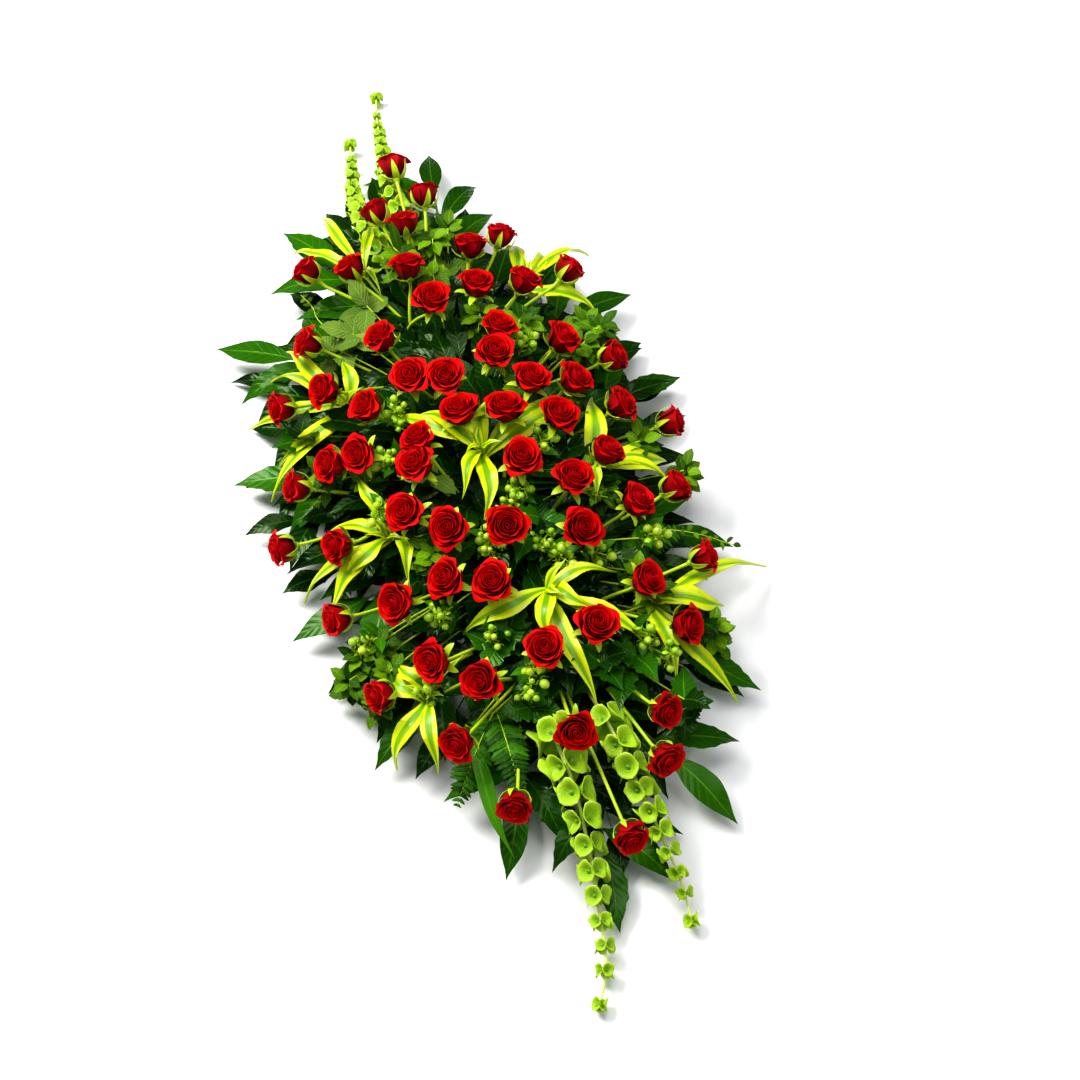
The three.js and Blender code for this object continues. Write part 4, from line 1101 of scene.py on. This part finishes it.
def collar_edge(turn, reach):
    """A point of the collar's outline, as a share of its full reach."""
    c, s = math.cos(turn), math.sin(turn)
    reach = reach * np.interp(math.degrees(turn) % 360, *zip(*COLLAR_RIM))
    power = COLLAR["pointed"]
    return (COLLAR["long"] * reach * math.copysign(abs(c) ** power, c),
            COLLAR["wide"] * reach * math.copysign(abs(s) ** power, s))


def painted_shade_tone(place, tone):
    """Painted shade: a leaf's tone is painted darker the deeper it sits under the mound of roses."""
    depth = 0.92 * mound_height(place[0], place[1]) - place[2]
    return tone * max(0.2, 1 - max(0.0, depth) / 110)


def foam_foot(x, y):
    """A place in the foam for a stem that leans out to (x, y)."""
    return vec(np.clip(0.62 * x, -FOAM_EDGE["long"], FOAM_EDGE["long"]),
               np.clip(0.25 * y, -FOAM_EDGE["wide"], FOAM_EDGE["wide"]), FOAM_DEPTH["sprig"])


def leafy_branch(route, step, seed):
    """Leaves in turn on both sides of a branch, clear of the roses."""
    leaves = []
    for k in range(int(route.length * (1 - COLLAR["bare"]) / step) + 1):
        at = 1 - k * step / route.length
        vary, other = chance(seed + k), chance(seed + 0.5 * k + 3)
        turn = to_side(k) * (COLLAR["spread"] + 24 * (vary - 0.5))
        ahead = unit(route.along(at) * vec(1, 1, 0.3))
        run = turned(ahead, turn) * COLLAR["length"] * (0.75 + 0.45 * vary)
        root = route.at(at)
        tip = root + run
        tip[2] = max(13, root[2] + run[2] + 26 * other - 14)
        wide, arch = COLLAR["width"] * (0.8 + 0.4 * other), 0.12 * COLLAR["length"]
        leaves.extend(clear_leaf(
            root, tip, (wide, arch), 26, wide, arch * (0.5 + vary), int(other * 7) % 3,
            painted_shade_tone(root, other)))
    return leaves


for t, (reach, height, branches, step) in enumerate(COLLAR_TIERS):
    places, lines = [], []
    for k in range(branches):
        seed = 300 * t + 7 * k
        turn = 2 * math.pi * (k + 0.5 * (t % 2) + 0.3 * (chance(seed) - 0.5)) / branches
        x, y = collar_edge(turn, reach * (0.86 + 0.2 * chance(seed + 1)))
        lift = height + 12 * (chance(seed + 2) - 0.5)
        foot = foam_foot(x, y)
        middle = vec(lerp(foot[0], x, 0.45), lerp(foot[1], y, 0.45), lerp(foot[2], lift, 0.5) + 12)
        route = Route([foot, middle, [x, y, lift]], 24)
        places.extend(leafy_branch(route, step, seed))
        lines.append(route.tapered(2.0, 1.0, 5))
    hand_over(f"collar_greens_{t}", [
        place_all(places, green_leaf_kinds, laurel_leaf, 0.1, t), draw_stems(lines, woody_stem, 5, 16.0)])

# Single leaves pushed into the top of the foam cover it between the stems. Their tone is kept low: painted
# shade, as they lie deep under the roses.
places = []
for k in range(COVER["leaves"]):
    seed = 2100 + 3 * k
    angle = STEP_ROUND * k
    root = vec(COVER["first"] + COVER["step"] * k, FOAM_EDGE["wide"] * math.sin(angle), COVER["root"])
    run = vec(math.cos(angle), math.sin(angle), 0.3 + 0.5 * chance(seed + 1)) * (56 + 26 * chance(seed))
    places.extend(clear_leaf(
        root, root + run, (COVER["width"], COVER["arch"]), 40, COVER["width"] + 8 * chance(seed + 2),
        COVER["arch"], k % 3, 0.15 * chance(seed + 1)))
hand_over("foam_cover_leaves", [place_all(places, green_leaf_kinds, laurel_leaf, 0.1, 9)])


# Ivy, soft and curly leaves, and more berries.
# Short sprigs fill the gaps between the roses: lobed ivy, dull quilted leaves, fine curly leaves, and
# berries on forked stalks with small leaves. Each has its own stem in the foam.
SPRIG = {"stem": 1.8, "leafy": 36, "berries": 7, "small_leaves": 6}
SPRIG_SPOTS = {
    "ivy": [
        [374, 45, 135], [395, 71, 128], [375, 98, 129], [130, 34, 160], [149, 9, 160], [300, -81, 136],
        [283, -61, 140], [-161, -256, 100], [336, 211, 96], [364, -34, 130], [402, -69, 120],
        [452, 146, 104]],
    "soft": [[-282, -166, 132], [-343, -99, 138], [-297, -135, 138], [3, -97, 150], [-390, 45, 120]],
    "curly": [
        [-197, 179, 138], [-216, 218, 126], [-165, 185, 138], [-230, 125, 150], [91, 140, 146],
        [71, 130, 150], [233, -273, 90], [227, -240, 100], [260, -297, 76], [276, -240, 98],
        [302, -267, 84], [247, 149, 132], [282, 160, 128], [148, -131, 150], [354, 229, 96],
        [-475, 72, 112], [-500, 25, 104], [-30, -185, 132], [-80, 155, 152], [-360, 15, 150],
        [-413, -24, 150], [-433, 35, 148], [-228, 116, 160], [-253, 59, 166], [-203, 239, 126],
        [-171, 203, 140], [28, 224, 134], [-97, 75, 172], [128, -134, 152], [80, 278, 104],
        [-70, -241, 126]],
    "berries": [
        [-118, -119, 160], [-183, 112, 160], [8, 78, 168], [81, 18, 170], [146, -51, 160], [171, 28, 160],
        [40, -190, 142], [-42, -162, 152], [202, 191, 132], [213, 98, 150], [209, 42, 158], [228, -272, 93],
        [239, -157, 135], [337, -202, 106], [371, -53, 134], [357, 127, 127], [392, 148, 115]],
}
soft_leaf = leaf_paint(
    "soft_leaf", (74, 106, 30), (118, 146, 56), (146, 170, 86), (112, 136, 60), 0.55, 0.18, 7.0, 0.3, 0.0034)
curly_leaf = leaf_paint(
    "curly_leaf", (18, 64, 1), (108, 150, 8), (144, 184, 30), (92, 142, 16), 0.34, 0.2, 6.0, 0.3, 0.0014)


def clear_of_heads(point, room):
    """The point, moved straight out of any rose head that is nearer than room."""
    for _ in range(3):
        gaps = point - head_middles
        far = np.linalg.norm(gaps, axis=1) - head_radii - room
        near = int(np.argmin(far))
        if far[near] < 0:
            point = point - unit(gaps[near]) * far[near]
    return point


def sprig_stem(spot):
    """The stem of a sprig that stands at a spot."""
    foot = foam_foot(spot[0], spot[1])
    return Route([foot, lerp(foot, spot, 0.5) + UP * 8, spot], 24)


for group, kind, size, leaves, wide, look in (
        ("ivy", 3, 52, 6, 0.95, laurel_leaf), ("soft", 4, 44, 5, 0.7, soft_leaf),
        ("curly", 5, 25, 22, 0.7, curly_leaf)):
    places, lines = [], []
    for k, spot in enumerate(SPRIG_SPOTS[group]):
        seed = 40 * k + 900
        route = sprig_stem(clear_of_heads(vec(*spot), 4))
        for i in range(leaves):
            angle = STEP_ROUND * i + 6 * chance(seed)
            length = size * (0.8 + 0.4 * chance(seed + i))
            lower = i / leaves
            run = vec(math.cos(angle), math.sin(angle), 0.4 - 0.9 * lower)
            aside = 0.4 * size * chance(seed + i + 9) if group == "curly" else 0
            root = route.at(1) - UP * SPRIG["leafy"] * lower + run * aside
            places.extend(clear_leaf(
                root, root + run * length, (size * 0.5, 0.1 * size), 20, size * wide, 0.1 * size, kind,
                chance(seed + 2 * i)))
        lines.append(route.tapered(SPRIG["stem"], 1.1, 5))
    hand_over(group + "_sprigs", [
        place_all(places, green_leaf_kinds, look, 0.2, 5), draw_stems(lines, fresh_stem, 5)])

berries, small_leaves, lines = [], [], []
for k, spot in enumerate(SPRIG_SPOTS["berries"]):
    seed = 30 * k + 1500
    route = sprig_stem(clear_of_heads(vec(*spot) + UP * 8, 10))
    top, along = route.at(1), route.along(1)
    flat = across(along)
    lines.append(route.tapered(SPRIG["stem"], 1.2, 5))
    for i in range(SPRIG["berries"]):
        angle = STEP_ROUND * i + 6 * chance(seed)
        out = unit(around(flat, angle) + along * (0.5 + 0.5 * chance(seed + i)))
        fork = top - along * (4 + 3.5 * i)
        middle = fork + out * (15 + 7 * chance(seed + 2 * i))
        radius = BERRY["radius"] * (1.0 + 0.45 * chance(seed + 3 * i))
        berries.extend(berry_at(middle, out, radius, seed + i))
        lines.append([(fork, 1.0), (lerp(fork, middle, 0.5) + along * 1.5, 0.8), (middle - out * 4, 0.9)])
    for i in range(SPRIG["small_leaves"]):
        angle = STEP_ROUND * i + 1 + 6 * chance(seed)
        root = top - along * (14 + 5 * i)
        tip = root + (around(flat, angle) + along * 0.6) * 34
        small_leaves.extend(clear_leaf(root, tip, (15, 3), 20, 16, 3, 0, chance(seed + i)))
hand_over("more_berries", [
    place_all(berries, berry_kinds, berry_skin, 0.05, 7),
    place_all(small_leaves, green_leaf_kinds, fern_leaf, 0.1, 8), draw_stems(lines, fresh_stem, 5, 8.0)])


# Narrow blade and tendrils.
# One long, narrow green blade hangs over the rim beside the fern, and a few wiry tendrils with tiny
# leaves reach out of the collar. Their stems go down between the leaves into the foam.
NARROW_BLADE = {"root": [401, -164, 84], "tip": [582, -151, 36], "width": 24, "arch": 16}
TENDRIL = {"leaves": 9, "step": 0.034, "stem": 1.3, "tip": 0.7}
TENDRILS = [
    [[156, 182, 96], [185, 250, 100], [213, 310, 78]],
    [[94, 76, 158], [117, 124, 160], [136, 166, 152]],
    [[-348, -160, 94], [-415, -173, 78], [-465, -184, 58]],
    [[-69, -212, 96], [-54, -254, 76], [-54, -278, 54]],
]
green_blade = leaf_paint(
    "green_blade", (24, 90, 2), (84, 150, 10), (112, 164, 26), (84, 136, 20), 0.26, 0.3, 2.0, 1.2, 0.0003)
foot = vec(300, -38, FOAM_DEPTH["collar"])
root, tip = vec(*NARROW_BLADE["root"]), vec(*NARROW_BLADE["tip"])
blade = leaf_at(root, tip, NARROW_BLADE["width"], NARROW_BLADE["arch"], 1, 0.5)
line = [(foot, 1.8), (lerp(foot, root, 0.5) + UP * 10, 1.6), (root, 1.4)]
hand_over("narrow_blade", [
    place_all([blade], blade_kinds, green_blade, 0.02, 3), draw_stems([line], fresh_stem, 5)])

leaflets, lines = [], []
for k, points in enumerate(TENDRILS):
    spots = [clear_of_heads(vec(*p), 4) for p in points]
    route = Route([foam_foot(points[0][0], points[0][1]), *spots], 32)
    for i in range(TENDRIL["leaves"]):
        seed = 2600 + 20 * k + i
        at = 1 - TENDRIL["step"] * i
        root = route.at(at)
        run = turned(unit(route.along(at)), to_side(i) * (40 + 30 * chance(seed)))
        tip = root + run * (9 + 7 * chance(seed + 1)) + UP * (8 * chance(seed + 2) - 2)
        leaflets.append(leaf_at(root, tip, 6 + 3 * chance(seed + 3), 2, 5, chance(seed + 4)))
    lines.append(route.tapered(TENDRIL["stem"], TENDRIL["tip"], 24))
hand_over("tendrils", [
    place_all(leaflets, green_leaf_kinds, curly_leaf, 0.2, 6), draw_stems(lines, fresh_stem, 5)])
